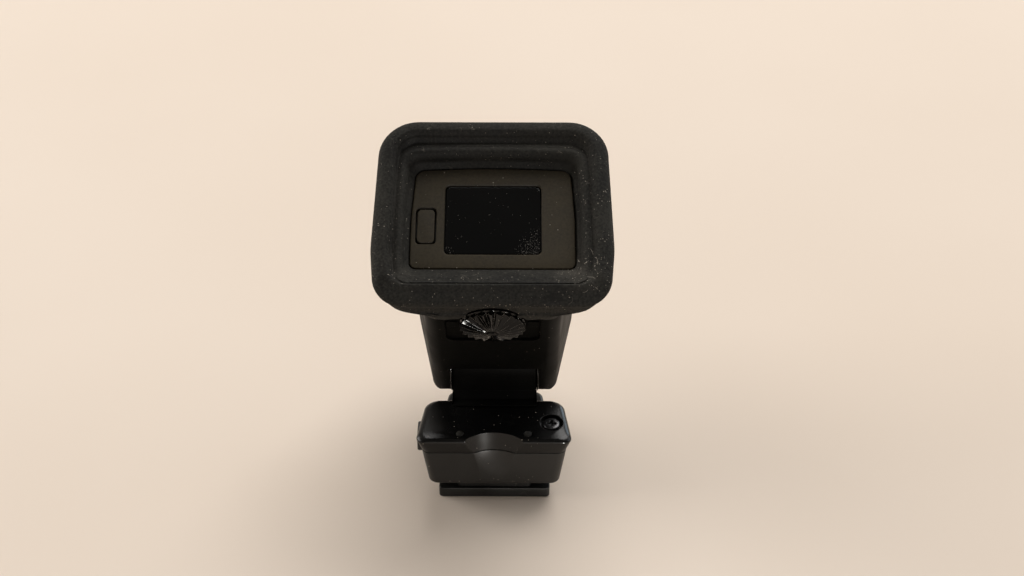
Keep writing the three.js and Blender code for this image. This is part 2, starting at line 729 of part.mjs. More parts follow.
function footScrew([x, y]) {
  const head = rod('z', FOOT_SCREW_HEAD, SEAT_GAP, SEAT_GAP + FOOT_SCREW_HEAD_HEIGHT, [x, y]);
  const shank = rod('z', FOOT_SCREW_SHANK, SEAT_GAP, FOOT_SCREW_LENGTH, [x, y]);
  const half = CROSS_WIDTH / 2;
  const reach = CROSS_SPAN / 2;
  const heights = [-OVERRUN, SEAT_GAP + CROSS_DEPTH];
  const slots = block([x - reach, x + reach], [y - half, y + half], heights)
    .add(block([x - half, x + half], [y - reach, y + reach], heights));
  return head.add(shank).subtract(slots);
}

// Base casing

// The plan of the base at one height: widest at the rear, narrower towards its front end.
function basePlan(rearHalf, by, lean, front, corners) {
  const halfAt = (y) => rearHalf - by - BASE_TAPER_SHARE * (y + BASE_REAR);
  const rearY = -BASE_REAR + by + lean;
  const frontY = front - by;
  return roundedOutline([
    [-halfAt(-BASE_REAR), rearY, corners[0]],
    [halfAt(-BASE_REAR), rearY, corners[0]],
    [halfAt(front), frontY, corners[1]],
    [-halfAt(front), frontY, corners[1]],
  ]);
}

const BLOCK_CORNERS = [BASE_REAR_CORNER, BASE_FRONT_CORNER];
const SHELF_CORNERS = [BASE_REAR_CORNER, BASE_REAR_CORNER];
const HOLLOW_CORNERS = [BASE_WALL / 2, BASE_FRONT_CORNER - BASE_WALL];

function ring(plan, z) {
  return plan.map(([x, y]) => [x, y, z]);
}

function blockRing(rearHalf, by, lean, z) {
  return ring(basePlan(rearHalf, by, lean, BLOCK_FRONT, BLOCK_CORNERS), z);
}

function hollowRing(rearHalf, by, lean, z) {
  return ring(basePlan(rearHalf, by, lean, BLOCK_FRONT, HOLLOW_CORNERS), z);
}

// The scoop for the thumb, a leaning cylinder that fades out down the rear face. Drawn larger,
// it keeps the wall behind the scoop thick.
function scoop(radius) {
  const cylinder = new THREE.CylinderGeometry(radius, radius, BASE_HEIGHT * 4, ROUND_SIDES * 3);
  cylinder.rotateX(Math.PI / 2 - Math.atan2(SCOOP_DEPTH, SCOOP_REACH));
  cylinder.translate(0, -BASE_REAR + SCOOP_DEPTH - SCOOP_RADIUS, BASE_TOP);
  return solid(cylinder);
}

// The way through the wall for the button's head, and the pocket inside for its flange.
function buttonOpening() {
  const half = BUTTON_LENGTH / 2 + SEAT_GAP;
  const flangeHalf = half + BUTTON_FLANGE_LIP;
  const top = BUTTON_LOW + BUTTON_HEIGHT + SEAT_GAP;
  const head = block(
    [BUTTON_FACE_X - OVERRUN, BUTTON_FLANGE_X],
    [MECHANISM_Y - half, MECHANISM_Y + half],
    [BUTTON_LOW - SEAT_GAP, top],
  );
  const pocket = block(
    [BUTTON_FLANGE_X - BUTTON_TRAVEL, LEVER_AXLE_X - LEVER_HUB_RADIUS],
    [MECHANISM_Y - flangeHalf, MECHANISM_Y + flangeHalf],
    [LEVER_AXLE_Z - STEM_BELOW_AXLE - STEM_SIZE, top],
  );
  return head.add(pocket);
}

function coverBoss(radius, from, to) {
  return rod('z', radius, from, to, [COVER_SCREW_X, MECHANISM_Y]);
}

// The case's outside: the block's lower part and the shelf in front of it.
function caseOutside() {
  const blockPart = loft([
    blockRing(CASE_LOW_HALF, CASE_BOTTOM_ROUND, 0, BASE_BOTTOM),
    blockRing(CASE_LOW_HALF, CASE_BOTTOM_ROUND / 4, 0, BASE_BOTTOM + CASE_BOTTOM_ROUND / 4),
    blockRing(CASE_LOW_HALF, 0, 0, BASE_BOTTOM + CASE_BOTTOM_ROUND),
    blockRing(CASE_TOP_HALF, 0, BASE_LEAN, CASE_TOP),
  ]);
  const half = CASE_LOW_HALF - SHELF_STEP;
  const plan = (by) => basePlan(half, by, BASE_WALL * 2, SHELF_FRONT, SHELF_CORNERS);
  const shelf = loft([
    ring(plan(CASE_BOTTOM_ROUND), BASE_BOTTOM),
    ring(plan(0), BASE_BOTTOM + CASE_BOTTOM_ROUND),
    ring(plan(0), SHELF_TOP - CASE_BOTTOM_ROUND),
    ring(plan(CASE_BOTTOM_ROUND), SHELF_TOP),
  ]);
  return blockPart.add(shelf);
}

function caseHollow() {
  const blockPart = loft([
    hollowRing(CASE_LOW_HALF, BASE_WALL + SHEET_EDGE, 0, CASE_FLOOR),
    hollowRing(CASE_TOP_HALF, BASE_WALL, BASE_LEAN, CASE_TOP),
    hollowRing(CASE_TOP_HALF, BASE_WALL, BASE_LEAN, CASE_TOP + OVERRUN),
  ]).subtract(scoop(SCOOP_RADIUS + BASE_WALL));
  const half = CASE_LOW_HALF - SHELF_STEP;
  const plan = basePlan(half, BASE_WALL, BASE_REAR / 2, SHELF_FRONT, HOLLOW_CORNERS);
  return blockPart.add(uprightPrism(plan, CASE_FLOOR, SHELF_TOP - BASE_WALL));
}

// The ribbon's way through the walls between the board and the hinge arm.
function ribbonSlot() {
  return block(
    [RIBBON_LEFT - RUNNING_GAP, RIBBON_LEFT + RIBBON_WIDTH + RUNNING_GAP],
    [BLOCK_FRONT - BASE_WALL - OVERRUN, PIVOT_Y],
    [RIBBON_LOW - RUNNING_GAP, RIBBON_LOW + RIBBON_THICKNESS + RUNNING_GAP],
  );
}

function baseCase() {
  const outside = caseOutside();
  let made = outside.subtract(caseHollow());
  FOOT_SCREWS.slice(0, 2).forEach((at) => {
    const top = CASE_FLOOR + FOOT_BOSS_HEIGHT;
    made = made.add(rod('z', FOOT_BOSS_RADIUS, BASE_BOTTOM + SEAT_GAP, top, at));
  });
  made = made.add(coverBoss(COVER_BOSS_RADIUS, CASE_FLOOR - SEAT_GAP, CASE_TOP).intersect(outside));
  made = made.subtract(coverBoss(COVER_SCREW_SHANK + BORE_CLEARANCE, CASE_FLOOR, BASE_TOP));
  FOOT_SCREWS.forEach((at) => {
    made = made.subtract(footScrewHole(at));
  });
  const half = ARM_FOOT_HALF + SEAT_GAP;
  const armHole = block(
    [-half, half], [ARM_REAR_Y - SEAT_GAP, ARM_FRONT_Y + SEAT_GAP], [CASE_FLOOR, SHELF_TOP + OVERRUN],
  );
  made = made.subtract(armHole).subtract(ribbonSlot());
  made = made.subtract(lockPinHole()).subtract(buttonOpening()).subtract(scoop(SCOOP_RADIUS));
  return made.add(leverBearing());
}

// Two lugs on the case floor that carry the lever's axle.
function leverBearing() {
  const inner = LEVER_WIDTH / 2 + RUNNING_GAP;
  const outer = inner + LUG_THICKNESS;
  const xRange = [LEVER_AXLE_X - LEVER_HUB_RADIUS, LEVER_AXLE_X + LEVER_HUB_RADIUS];
  const zRange = [CASE_FLOOR - SEAT_GAP, LEVER_AXLE_Z + LEVER_HUB_RADIUS];
  const hole = rod(
    'y', LEVER_AXLE_RADIUS + BORE_CLEARANCE, MECHANISM_Y - outer - OVERRUN,
    MECHANISM_Y + outer + OVERRUN, [LEVER_AXLE_X, LEVER_AXLE_Z],
  );
  return block(xRange, [MECHANISM_Y + inner, MECHANISM_Y + outer], zRange)
    .add(block(xRange, [MECHANISM_Y - outer, MECHANISM_Y - inner], zRange))
    .subtract(hole);
}

function baseCover() {
  const low = CASE_TOP + SEAT_GAP;
  const outer = loft([
    blockRing(CASE_TOP_HALF, 0, BASE_LEAN, low),
    blockRing(COVER_TOP_HALF, 0, 0, BASE_TOP - COVER_EDGE_ROUND),
    blockRing(COVER_TOP_HALF, COVER_EDGE_ROUND / 4, 0, BASE_TOP - COVER_EDGE_ROUND / 4),
    blockRing(COVER_TOP_HALF, COVER_EDGE_ROUND, 0, BASE_TOP),
  ]);
  const hollow = loft([
    hollowRing(CASE_TOP_HALF, BASE_WALL, BASE_LEAN, low - OVERRUN),
    hollowRing(CASE_TOP_HALF, BASE_WALL, BASE_LEAN, BASE_TOP - COVER_SKIN),
  ]).subtract(scoop(SCOOP_RADIUS + BASE_WALL));
  let made = outer.subtract(hollow);
  made = made.add(coverBoss(COVER_RECESS_RADIUS + SEAT_GAP, low, COVER_RECESS_FLOOR).intersect(outer));
  made = made.subtract(coverBoss(COVER_RECESS_RADIUS, COVER_RECESS_FLOOR, BASE_TOP + OVERRUN));
  made = made.subtract(coverBoss(COVER_SCREW_SHANK + SEAT_GAP, CASE_TOP, BASE_TOP));
  [-PAD_X, PAD_X].forEach((x) => {
    const floor = BASE_TOP - PAD_DEPTH;
    made = made.subtract(rod('z', PAD_RADIUS + BORE_CLEARANCE, floor, BASE_TOP + OVERRUN, [x, PAD_Y]));
  });
  return made.subtract(buttonOpening()).subtract(scoop(SCOOP_RADIUS));
}

function coverScrew() {
  const at = [COVER_SCREW_X, MECHANISM_Y];
  const seat = COVER_RECESS_FLOOR + SEAT_GAP;
  const head = rod('z', COVER_SCREW_HEAD, seat, seat + COVER_SCREW_HEAD_HEIGHT, at, ROUND_SIDES);
  const shank = rod('z', COVER_SCREW_SHANK, seat - COVER_SCREW_LENGTH, seat + BORE_CLEARANCE, at);
  return head.add(shank).subtract(crossCutter(...at, seat + COVER_SCREW_HEAD_HEIGHT));
}

function restPad(x) {
  const low = BASE_TOP - PAD_DEPTH + SEAT_GAP;
  const top = BASE_TOP + PAD_STAND;
  const profile = [
    [0, low],
    [PAD_RADIUS, low],
    [PAD_RADIUS, BASE_TOP],
    [PAD_RADIUS / 2, top],
    [0, top],
  ];
  return turned(profile, SMALL_SIDES, [x, PAD_Y, 0]);
}

// Lock mechanism

function lockButton() {
  const half = BUTTON_LENGTH / 2;
  const top = BUTTON_LOW + BUTTON_HEIGHT;
  const face = (by, x) => roundedRectangle(
    MECHANISM_Y - half + by, MECHANISM_Y + half - by, BUTTON_LOW + by, top - by, BUTTON_EDGE,
  ).map(([y, z]) => [x, y, z]);
  const head = loft([
    face(BUTTON_EDGE, BUTTON_FACE_X),
    face(0, BUTTON_FACE_X + BUTTON_EDGE),
    face(0, BUTTON_FLANGE_X + SEAT_GAP),
  ]);
  const lip = half + BUTTON_FLANGE_LIP;
  const stemZ = LEVER_AXLE_Z - STEM_BELOW_AXLE;
  const stemLow = stemZ - STEM_SIZE / 2;
  const flangeEnd = BUTTON_FLANGE_X + BUTTON_FLANGE_THICKNESS;
  const flange = block([BUTTON_FLANGE_X, flangeEnd], [MECHANISM_Y - lip, MECHANISM_Y + lip], [stemLow, top]);
  const stem = block(
    [BUTTON_FLANGE_X, LEVER_AXLE_X - LEVER_THICKNESS / 2 - SEAT_GAP],
    [MECHANISM_Y - STEM_WIDTH / 2, MECHANISM_Y + STEM_WIDTH / 2],
    [stemLow, stemLow + STEM_SIZE],
  );
  return head.add(flange).add(stem);
}

function leverAxle() {
  const reach = LEVER_WIDTH / 2 + RUNNING_GAP + LUG_THICKNESS;
  return rod('y', LEVER_AXLE_RADIUS, MECHANISM_Y - reach, MECHANISM_Y + reach, [LEVER_AXLE_X, LEVER_AXLE_Z]);
}

function lockLever() {
  const half = LEVER_THICKNESS / 2;
  const ys = [MECHANISM_Y - LEVER_WIDTH / 2, MECHANISM_Y + LEVER_WIDTH / 2];
  const zs = [LEVER_AXLE_Z - half, LEVER_AXLE_Z + half];
  const upright = block(
    [LEVER_AXLE_X - half, LEVER_AXLE_X + half],
    [MECHANISM_Y - STEM_WIDTH, MECHANISM_Y + STEM_WIDTH],
    [LEVER_AXLE_Z - STEM_BELOW_AXLE - SEAT_GAP, LEVER_AXLE_Z],
  );
  const level = block([LEVER_AXLE_X, LEVER_END_X], ys, zs);
  const hub = rod('y', LEVER_HUB_RADIUS - SEAT_GAP, ...ys, [LEVER_AXLE_X, LEVER_AXLE_Z]);
  const slot = block(
    [-LEVER_SLOT_REACH, LEVER_END_X + OVERRUN],
    [MECHANISM_Y - LEVER_SLOT_WIDTH / 2, MECHANISM_Y + LEVER_SLOT_WIDTH / 2],
    [zs[0] - OVERRUN, zs[1] + OVERRUN],
  );
  const hole = rod(
    'y', LEVER_AXLE_RADIUS + BORE_CLEARANCE, ys[0] - OVERRUN, ys[1] + OVERRUN,
    [LEVER_AXLE_X, LEVER_AXLE_Z],
  );
  return upright.add(level).add(hub).subtract(slot).subtract(hole);
}

const COLLAR_LOW = LEVER_AXLE_Z + LEVER_THICKNESS / 2 + RUNNING_GAP;
const COLLAR_TOP = COLLAR_LOW + LOCK_PIN_COLLAR_HEIGHT;

function lockPin() {
  const profile = [
    [0, 0],
    [LOCK_PIN_RADIUS - FOOT_BEVEL, 0],
    [LOCK_PIN_RADIUS, FOOT_BEVEL],
    [LOCK_PIN_RADIUS, COLLAR_LOW],
    [LOCK_PIN_COLLAR, COLLAR_LOW],
    [LOCK_PIN_COLLAR, COLLAR_TOP],
    [0, COLLAR_TOP],
  ];
  return turned(profile, SMALL_SIDES, [0, MECHANISM_Y, 0]);
}

// The coil between the pin's collar and the underside of the cover: one unbroken tube.
function lockSpring() {
  const start = COLLAR_TOP + SPRING_WIRE;
  const length = BASE_TOP - COVER_SKIN - SPRING_WIRE - SEAT_GAP - start;
  const steps = SPRING_TURNS * SPRING_STEPS;
  const rings = [];
  for (let i = 0; i <= steps; i += 1) {
    const angle = (2 * Math.PI * i) / SPRING_STEPS;
    const height = start + (length * i) / steps;
    const ring = [];
    for (let k = 0; k < SPRING_WIRE_SIDES; k += 1) {
      const around = (2 * Math.PI * k) / SPRING_WIRE_SIDES;
      const radius = SPRING_RADIUS + SPRING_WIRE * Math.cos(around);
      ring.push([
        radius * Math.cos(angle),
        MECHANISM_Y + radius * Math.sin(angle),
        height + SPRING_WIRE * Math.sin(around),
      ]);
    }
    rings.push(ring);
  }
  return loft(rings);
}

// Board and ribbon in the base

function baseBoard() {
  return block(
    [BASE_BOARD_X, BASE_BOARD_X + BASE_BOARD_WIDTH],
    [BASE_BOARD_FRONT - BASE_BOARD_LENGTH, BASE_BOARD_FRONT],
    [BASE_BOARD_Z, BASE_BOARD_Z + BOARD_THICKNESS],
  );
}

function boardSocket() {
  const top = BASE_BOARD_Z + BOARD_THICKNESS;
  return block(
    [RIBBON_LEFT - RUNNING_GAP, RIBBON_LEFT + RIBBON_WIDTH + RUNNING_GAP],
    [BASE_BOARD_FRONT - SOCKET_LENGTH - SEAT_GAP, BASE_BOARD_FRONT - SEAT_GAP],
    [top, top + SOCKET_HEIGHT],
  );
}

const RIBBON_LOW = BASE_BOARD_Z + BOARD_THICKNESS + SEAT_GAP;

// The ribbon from the board, through the arm's rear wall and up into the hinge barrel.
function baseRibbon() {
  const end = PIVOT_Z - BARREL_RADIUS / 4;
  const rear = BASE_BOARD_FRONT;
  const outline = [
    [rear, RIBBON_LOW],
    [PIVOT_Y + RIBBON_THICKNESS, RIBBON_LOW],
    [PIVOT_Y + RIBBON_THICKNESS, end],
    [PIVOT_Y, end],
    [PIVOT_Y, RIBBON_LOW + RIBBON_THICKNESS],
    [rear, RIBBON_LOW + RIBBON_THICKNESS],
  ];
  return sidePrism(outline, RIBBON_LEFT, RIBBON_LEFT + RIBBON_WIDTH);
}

// Hinge arm and its screws

// The arm: a foot inside the shelf, a neck behind which the cover ends, a flange over the
// cover's edge, and the hinge barrel on top.
function hingeArm() {
  const neckLow = SHELF_TOP + SEAT_GAP;
  const flangeLow = BASE_TOP + SEAT_GAP;
  const flangeTop = flangeLow + ARM_FLANGE_THICKNESS;
  const neckRear = BLOCK_FRONT + SEAT_GAP;
  const outline = [
    [neckRear, neckLow],
    [ARM_FRONT_Y, neckLow],
    [ARM_FRONT_Y, neckLow + ARM_NECK_HEIGHT],
    [PIVOT_Y + BARREL_RADIUS, PIVOT_Z - ARM_JAW_DROP],
  ];
  for (let k = 0; k <= ROUND_SIDES; k += 1) {
    const angle = (Math.PI * k) / ROUND_SIDES;
    const y = PIVOT_Y + BARREL_RADIUS * Math.cos(angle);
    outline.push([y, PIVOT_Z + BARREL_RADIUS * Math.sin(angle)]);
  }
  const slotEnd = PIVOT_Y + TUBE_FRONT_TO_PIVOT - SLOT_LENGTH;
  outline.push(
    [ARM_REAR_Y, flangeTop + ARM_FLANGE_RISE],
    [slotEnd + RUNNING_GAP, flangeTop],
    [-ARM_FLANGE_REAR, flangeTop],
    [-ARM_FLANGE_REAR, flangeLow],
    [neckRear, flangeLow],
  );
  let arm = sidePrism(outline, -ARM_HALF, ARM_HALF);
  arm = arm.add(block(
    [-ARM_FOOT_HALF, ARM_FOOT_HALF], [ARM_REAR_Y, ARM_FRONT_Y], [CASE_FLOOR, neckLow + SEAT_GAP],
  ));
  const middle = [PIVOT_Y - ARM_CHANNEL_LENGTH / 2, PIVOT_Y + ARM_CHANNEL_LENGTH / 2];
  const channel = [-ARM_CHANNEL_HALF, ARM_CHANNEL_HALF];
  const pivot = [PIVOT_Y, PIVOT_Z];
  arm = arm.subtract(block(channel, middle, [CASE_FLOOR - OVERRUN, PIVOT_Z]));
  arm = arm.subtract(rod('x', ARM_BORE_CAVITY, ...channel, pivot, ROUND_SIDES));
  arm = arm.subtract(rod('x', HINGE_SCREW_SHANK + SEAT_GAP, -BRACKET_OUTER, BRACKET_OUTER, pivot));
  const topSlot = block(
    [RIBBON_LEFT - RUNNING_GAP, RIBBON_LEFT + RIBBON_WIDTH + RUNNING_GAP],
    [PIVOT_Y - RIBBON_SLOT_HALF, PIVOT_Y + RIBBON_SLOT_HALF],
    [PIVOT_Z, PIVOT_Z + BARREL_RADIUS + OVERRUN],
  );
  arm = arm.subtract(topSlot).subtract(ribbonSlot());
  FOOT_SCREWS.slice(2).forEach((at) => {
    const bore = FOOT_SCREW_SHANK + BORE_CLEARANCE;
    arm = arm.subtract(rod('z', bore, -OVERRUN, FOOT_SCREW_LENGTH + SEAT_GAP, at));
  });
  return arm;
}

// A shouldered screw on the pivot, at the right (side 1) or the left (side -1).
function hingeScrew(side) {
  const span = (from, to) => (side > 0 ? [from, to] : [-to, -from]);
  const pivot = [PIVOT_Y, PIVOT_Z];
  const head = rod('x', HINGE_SCREW_HEAD, ...span(HINGE_HEAD_INNER, HINGE_HEAD_OUTER), pivot, ROUND_SIDES);
  const start = ARM_CHANNEL_HALF + SEAT_GAP;
  const shank = rod('x', HINGE_SCREW_SHANK, ...span(start, HINGE_HEAD_OUTER), pivot);
  const [slotLow, slotHigh] = span(HINGE_HEAD_OUTER - HINGE_SLOT_DEPTH, HINGE_HEAD_OUTER + OVERRUN);
  const slot = block(
    [slotLow, slotHigh],
    [PIVOT_Y - HINGE_SCREW_HEAD, PIVOT_Y + HINGE_SCREW_HEAD],
    [PIVOT_Z - CROSS_WIDTH / 2, PIVOT_Z + CROSS_WIDTH / 2],
  );
  return head.add(shank).subtract(slot);
}

// Tube housing

const PIVOT_S = TUBE_FRONT_TO_PIVOT;
const PIVOT_T = TUBE_UNDERSIDE_TO_PIVOT;

// A rod across the tube at the pivot, in the tube's own axes.
function pivotRod(radius, from, to, sides = SMALL_SIDES) {
  return rod('x', radius, from, to, [-PIVOT_S, PIVOT_T], sides);
}

function housingEnvelope() {
  return loft([
    tubeRing(inset(HOUSING_SECTION, HOUSING_FRONT_ROUND), 0),
    tubeRing(inset(HOUSING_SECTION, HOUSING_FRONT_ROUND / 4), HOUSING_FRONT_ROUND / 4),
    tubeRing(HOUSING_SECTION, HOUSING_FRONT_ROUND),
    tubeRing(HOUSING_SECTION, HOUSING_LENGTH),
  ]);
}

// What rounds the cheeks' front lower corners: a square less a quarter circle.
function cheekCutter() {
  const outline = [[OVERRUN, -OVERRUN], [OVERRUN, CHEEK_ROUND]];
  const steps = ARC_STEPS * 2;
  for (let k = 0; k <= steps; k += 1) {
    const angle = (Math.PI * k) / (2 * steps);
    const y = CHEEK_ROUND * (Math.cos(angle) - 1);
    outline.push([y, CHEEK_ROUND * (1 - Math.sin(angle))]);
  }
  outline.push([-CHEEK_ROUND, -OVERRUN]);
  return sidePrism(outline, -HOUSING_KNEE_HALF, HOUSING_KNEE_HALF);
}

function housingShell() {
  const envelope = housingEnvelope();
  const hollow = tubePrism(
    sectionOutline(inset(HOUSING_SECTION, HOUSING_WALL)), FRONT_COVER_THICKNESS, HOUSING_LENGTH + OVERRUN,
  );
  const half = SLOT_HALF + SLOT_WALL;
  const slotWalls = tubeBlock([-half, half], [0, SLOT_LENGTH + HOUSING_WALL], [0, SLOT_TOP]);
  const slotBox = envelope.intersect(slotWalls);
  const slot = tubeBlock([-SLOT_HALF, SLOT_HALF], [-OVERRUN, SLOT_LENGTH], [-OVERRUN, SLOT_HEIGHT]);
  const ribbonHalf = RIBBON_LEFT + RIBBON_WIDTH + RUNNING_GAP;
  const ribbonHole = tubeBlock(
    [RIBBON_LEFT - RUNNING_GAP, ribbonHalf],
    [PIVOT_S - RIBBON_SLOT_HALF, PIVOT_S + RIBBON_SLOT_HALF],
    [SLOT_HEIGHT - OVERRUN, SLOT_TOP + SEAT_GAP],
  );
  const screwHoles = BRACKET_SCREWS.map(([x, s]) => (
    rod('z', BRACKET_SCREW_SHANK + BORE_CLEARANCE, SLOT_HEIGHT - OVERRUN, SLOT_TOP + OVERRUN, [x, -s])
  ));
  let shell = envelope.subtract(hollow).add(slotBox).subtract(slot).subtract(ribbonHole);
  screwHoles.forEach((hole) => {
    shell = shell.subtract(hole);
  });
  const pocketHalf = HINGE_HEAD_OUTER + SEAT_GAP;
  const shaftHole = pivotRod(HINGE_SCREW_HEAD + SEAT_GAP, -pocketHalf, pocketHalf, ROUND_SIDES);
  return shell.subtract(shaftHole).subtract(cheekCutter());
}

const BRACKET_SCREWS = [
  [-BRACKET_SCREW_X, BRACKET_SCREW_S],
  [BRACKET_SCREW_X, BRACKET_SCREW_S],
];
const SHELL = housingShell();
const WIDE = [-CUP_KNEE_HALF, CUP_KNEE_HALF];
const FRONT_SPACE = tubeBlock(
  WIDE, [-OVERRUN, FRONT_COVER_THICKNESS + SEAT_GAP], [FRONT_COVER_LOW, HOUSING_TOP + OVERRUN],
);

function frontCover() {
  const low = FRONT_COVER_LOW + SEAT_GAP;
  return SHELL.intersect(tubeBlock(WIDE, [-OVERRUN, FRONT_COVER_THICKNESS], [low, HOUSING_TOP + OVERRUN]));
}

function housingLower() {
  let made = SHELL.intersect(tubeBlock(WIDE, [-OVERRUN, CUP_FACE], [-OVERRUN, HOUSING_KNEE]));
  made = made.subtract(FRONT_SPACE);
  const recess = roundedRectangle(
    -DIAL_RECESS_HALF, DIAL_RECESS_HALF, -CUP_FACE, -DIAL_RECESS_START, DIAL_RECESS_CORNER,
  );
  made = made.subtract(uprightPrism(recess, -OVERRUN, DIAL_RECESS_DEPTH));
  const bore = DIAL_SHAFT_RADIUS + BORE_CLEARANCE;
  return made.subtract(rod('z', bore, -OVERRUN, OVERRUN + HOUSING_WALL, [0, -DIAL_S]));
}

function housingUpper() {
  const heights = [HOUSING_KNEE + SEAT_GAP, HOUSING_TOP + OVERRUN];
  return SHELL.intersect(tubeBlock(WIDE, [-OVERRUN, CUP_FACE], heights)).subtract(FRONT_SPACE);
}

function tiltBracket() {
  const earS = [PIVOT_S - BRACKET_EAR_HALF_LENGTH, PIVOT_S + BRACKET_EAR_HALF_LENGTH];
  const earLow = PIVOT_T - BRACKET_EAR_DROP;
  const ear = (side) => tubeBlock(
    side > 0 ? [BRACKET_INNER, BRACKET_OUTER] : [-BRACKET_OUTER, -BRACKET_INNER],
    earS, [earLow, BRACKET_TOP_HIGH],
  );
  const top = tubeBlock([-BRACKET_OUTER, BRACKET_OUTER], earS, [BRACKET_TOP_LOW, BRACKET_TOP_HIGH]);
  let made = ear(1).add(ear(-1)).add(top);
  const reach = BRACKET_OUTER + OVERRUN;
  made = made.subtract(pivotRod(HINGE_SCREW_SHANK + BORE_CLEARANCE, -reach, reach));
  BRACKET_SCREWS.forEach(([x, s]) => {
    const bore = BRACKET_SCREW_SHANK + BORE_CLEARANCE;
    made = made.subtract(rod('z', bore, BRACKET_TOP_LOW - OVERRUN, BOARD_LOW, [x, -s]));
  });
  return made.subtract(tubeBlock(
    [RIBBON_LEFT - RUNNING_GAP, BRACKET_SCREW_X - BRACKET_SCREW_HEAD],
    [PIVOT_S - RIBBON_SLOT_HALF, PIVOT_S + RIBBON_SLOT_HALF],
    [BRACKET_TOP_LOW - OVERRUN, BOARD_LOW],
  ));
}

function bracketScrew([x, s]) {
  const seat = BRACKET_TOP_HIGH + SEAT_GAP;
  const tip = seat - BRACKET_SCREW_LENGTH;
  const head = rod('z', BRACKET_SCREW_HEAD, seat, seat + BRACKET_SCREW_HEAD_HEIGHT, [x, -s]);
  return head.add(rod('z', BRACKET_SCREW_SHANK, tip, seat + BORE_CLEARANCE, [x, -s]));
}

function frictionWasher(side) {
  const outer = WASHER_INNER + WASHER_THICKNESS;
  const span = side > 0 ? [WASHER_INNER, outer] : [-outer, -WASHER_INNER];
  const bore = pivotRod(HINGE_SCREW_SHANK + BORE_CLEARANCE, span[0] - OVERRUN, span[1] + OVERRUN);
  return pivotRod(WASHER_RADIUS, ...span, ROUND_SIDES).subtract(bore);
}

// Diopter dial

// The fluted knob: a low rim, and a cone of grooves that run up to its peak.
function diopterDial() {
  const flute = (radius, groove, t) => {
    const ring = [];
    for (let k = 0; k < DIAL_FLUTES * 4; k += 1) {
      const angle = (-2 * Math.PI * k) / (DIAL_FLUTES * 4);
      const raised = k % 4 < 2;
      const reach = raised ? radius : radius - groove;
      ring.push([reach * Math.sin(angle), reach * Math.cos(angle) - DIAL_S, t]);
    }
    return ring;
  };
  const body = loft([
    flute(DIAL_RADIUS, 0, DIAL_SUNK),
    flute(DIAL_RADIUS, DIAL_FLUTE_DEPTH, -DIAL_RIM_STAND),
    flute(DIAL_PEAK_RADIUS + DIAL_FLUTE_DEPTH, DIAL_FLUTE_DEPTH, -DIAL_PEAK_STAND),
  ]);
  return body.subtract(rod('z', DIAL_SHAFT_RADIUS - BORE_CLEARANCE, 0, OVERRUN, [0, -DIAL_S]));
}

function dialShaft() {
  const at = [0, -DIAL_S];
  const shaft = rod('z', DIAL_SHAFT_RADIUS, DIAL_SUNK + SEAT_GAP, DIAL_SHAFT_TOP, at);
  const stubRadius = DIAL_SHAFT_RADIUS - 2 * BORE_CLEARANCE;
  const stub = rod('z', stubRadius, BORE_CLEARANCE, DIAL_SHAFT_TOP, at);
  const pinLow = DIAL_SHAFT_TOP - BORE_CLEARANCE;
  const pin = rod('z', ECCENTRIC_RADIUS, pinLow, ECCENTRIC_TOP, [ECCENTRIC_OFFSET, -DIAL_S]);
  return shaft.add(stub).add(pin);
}

function dialClip() {
  const low = HOUSING_WALL + SEAT_GAP;
  const at = [0, -DIAL_S];
  const disc = rod('z', DIAL_CLIP_RADIUS, low, low + DIAL_CLIP_THICKNESS, at, ROUND_SIDES);
  const bore = DIAL_SHAFT_RADIUS + BORE_CLEARANCE;
  return disc.subtract(rod('z', bore, low - OVERRUN, low + OVERRUN, at));
}

// Optical block

function opticsFrame() {
  const outer = tubeBlock(
    [-CHASSIS_HALF, CHASSIS_HALF], [CHASSIS_START, CHASSIS_END], [CHASSIS_LOW, CHASSIS_TOP],
  );
  const bore = tubeBlock(
    [-CHASSIS_INNER_HALF, CHASSIS_INNER_HALF],
    [CHASSIS_START - OVERRUN, CHASSIS_END + OVERRUN],
    [CHASSIS_INNER_LOW, CHASSIS_INNER_TOP],
  );
  const shaftSpace = rod(
    'z', DIAL_SHAFT_RADIUS + RUNNING_GAP, CHASSIS_LOW - OVERRUN, CHASSIS_INNER_LOW + OVERRUN, [0, -DIAL_S],
  );
  return outer.subtract(bore).subtract(shaftSpace);
}

function displayPanel() {
  const start = CHASSIS_START + DISPLAY_PLATE_THICKNESS + SEAT_GAP;
  return tubeBlock(
    [-DISPLAY_WIDTH / 2, DISPLAY_WIDTH / 2],
    [start, start + DISPLAY_THICKNESS],
    [OPTIC_AXIS - DISPLAY_HEIGHT / 2, OPTIC_AXIS + DISPLAY_HEIGHT / 2],
  );
}

function displayPlate() {
  const half = CHASSIS_INNER_HALF - SEAT_GAP;
  return tubeBlock(
    [-half, half],
    [CHASSIS_START, CHASSIS_START + DISPLAY_PLATE_THICKNESS],
    [CHASSIS_INNER_LOW + SEAT_GAP, CHASSIS_INNER_TOP - SEAT_GAP],
  );
}

const GUIDE_START = CHASSIS_START + DISPLAY_PLATE_THICKNESS + SEAT_GAP;
const GUIDES = [
  [-GUIDE_ROD_OUT, OPTIC_AXIS - GUIDE_ROD_RISE],
  [GUIDE_ROD_OUT, OPTIC_AXIS + GUIDE_ROD_RISE],
];

// A round bar along the tube, between two places on s.
function tubeRod(radius, from, to, at, sides = SMALL_SIDES) {
  return rod('y', radius, -to, -from, at, sides);
}

function guideRod(at) {
  return tubeRod(GUIDE_ROD_RADIUS, GUIDE_START, CHASSIS_END, at);
}

const LENS_PITCH = LENS_EDGE + 2 * LENS_CROWN + LENS_SPACER;
const LENS_FIRST = CARRIER_START + LENS_SEAT + LENS_CROWN + LENS_EDGE / 2;

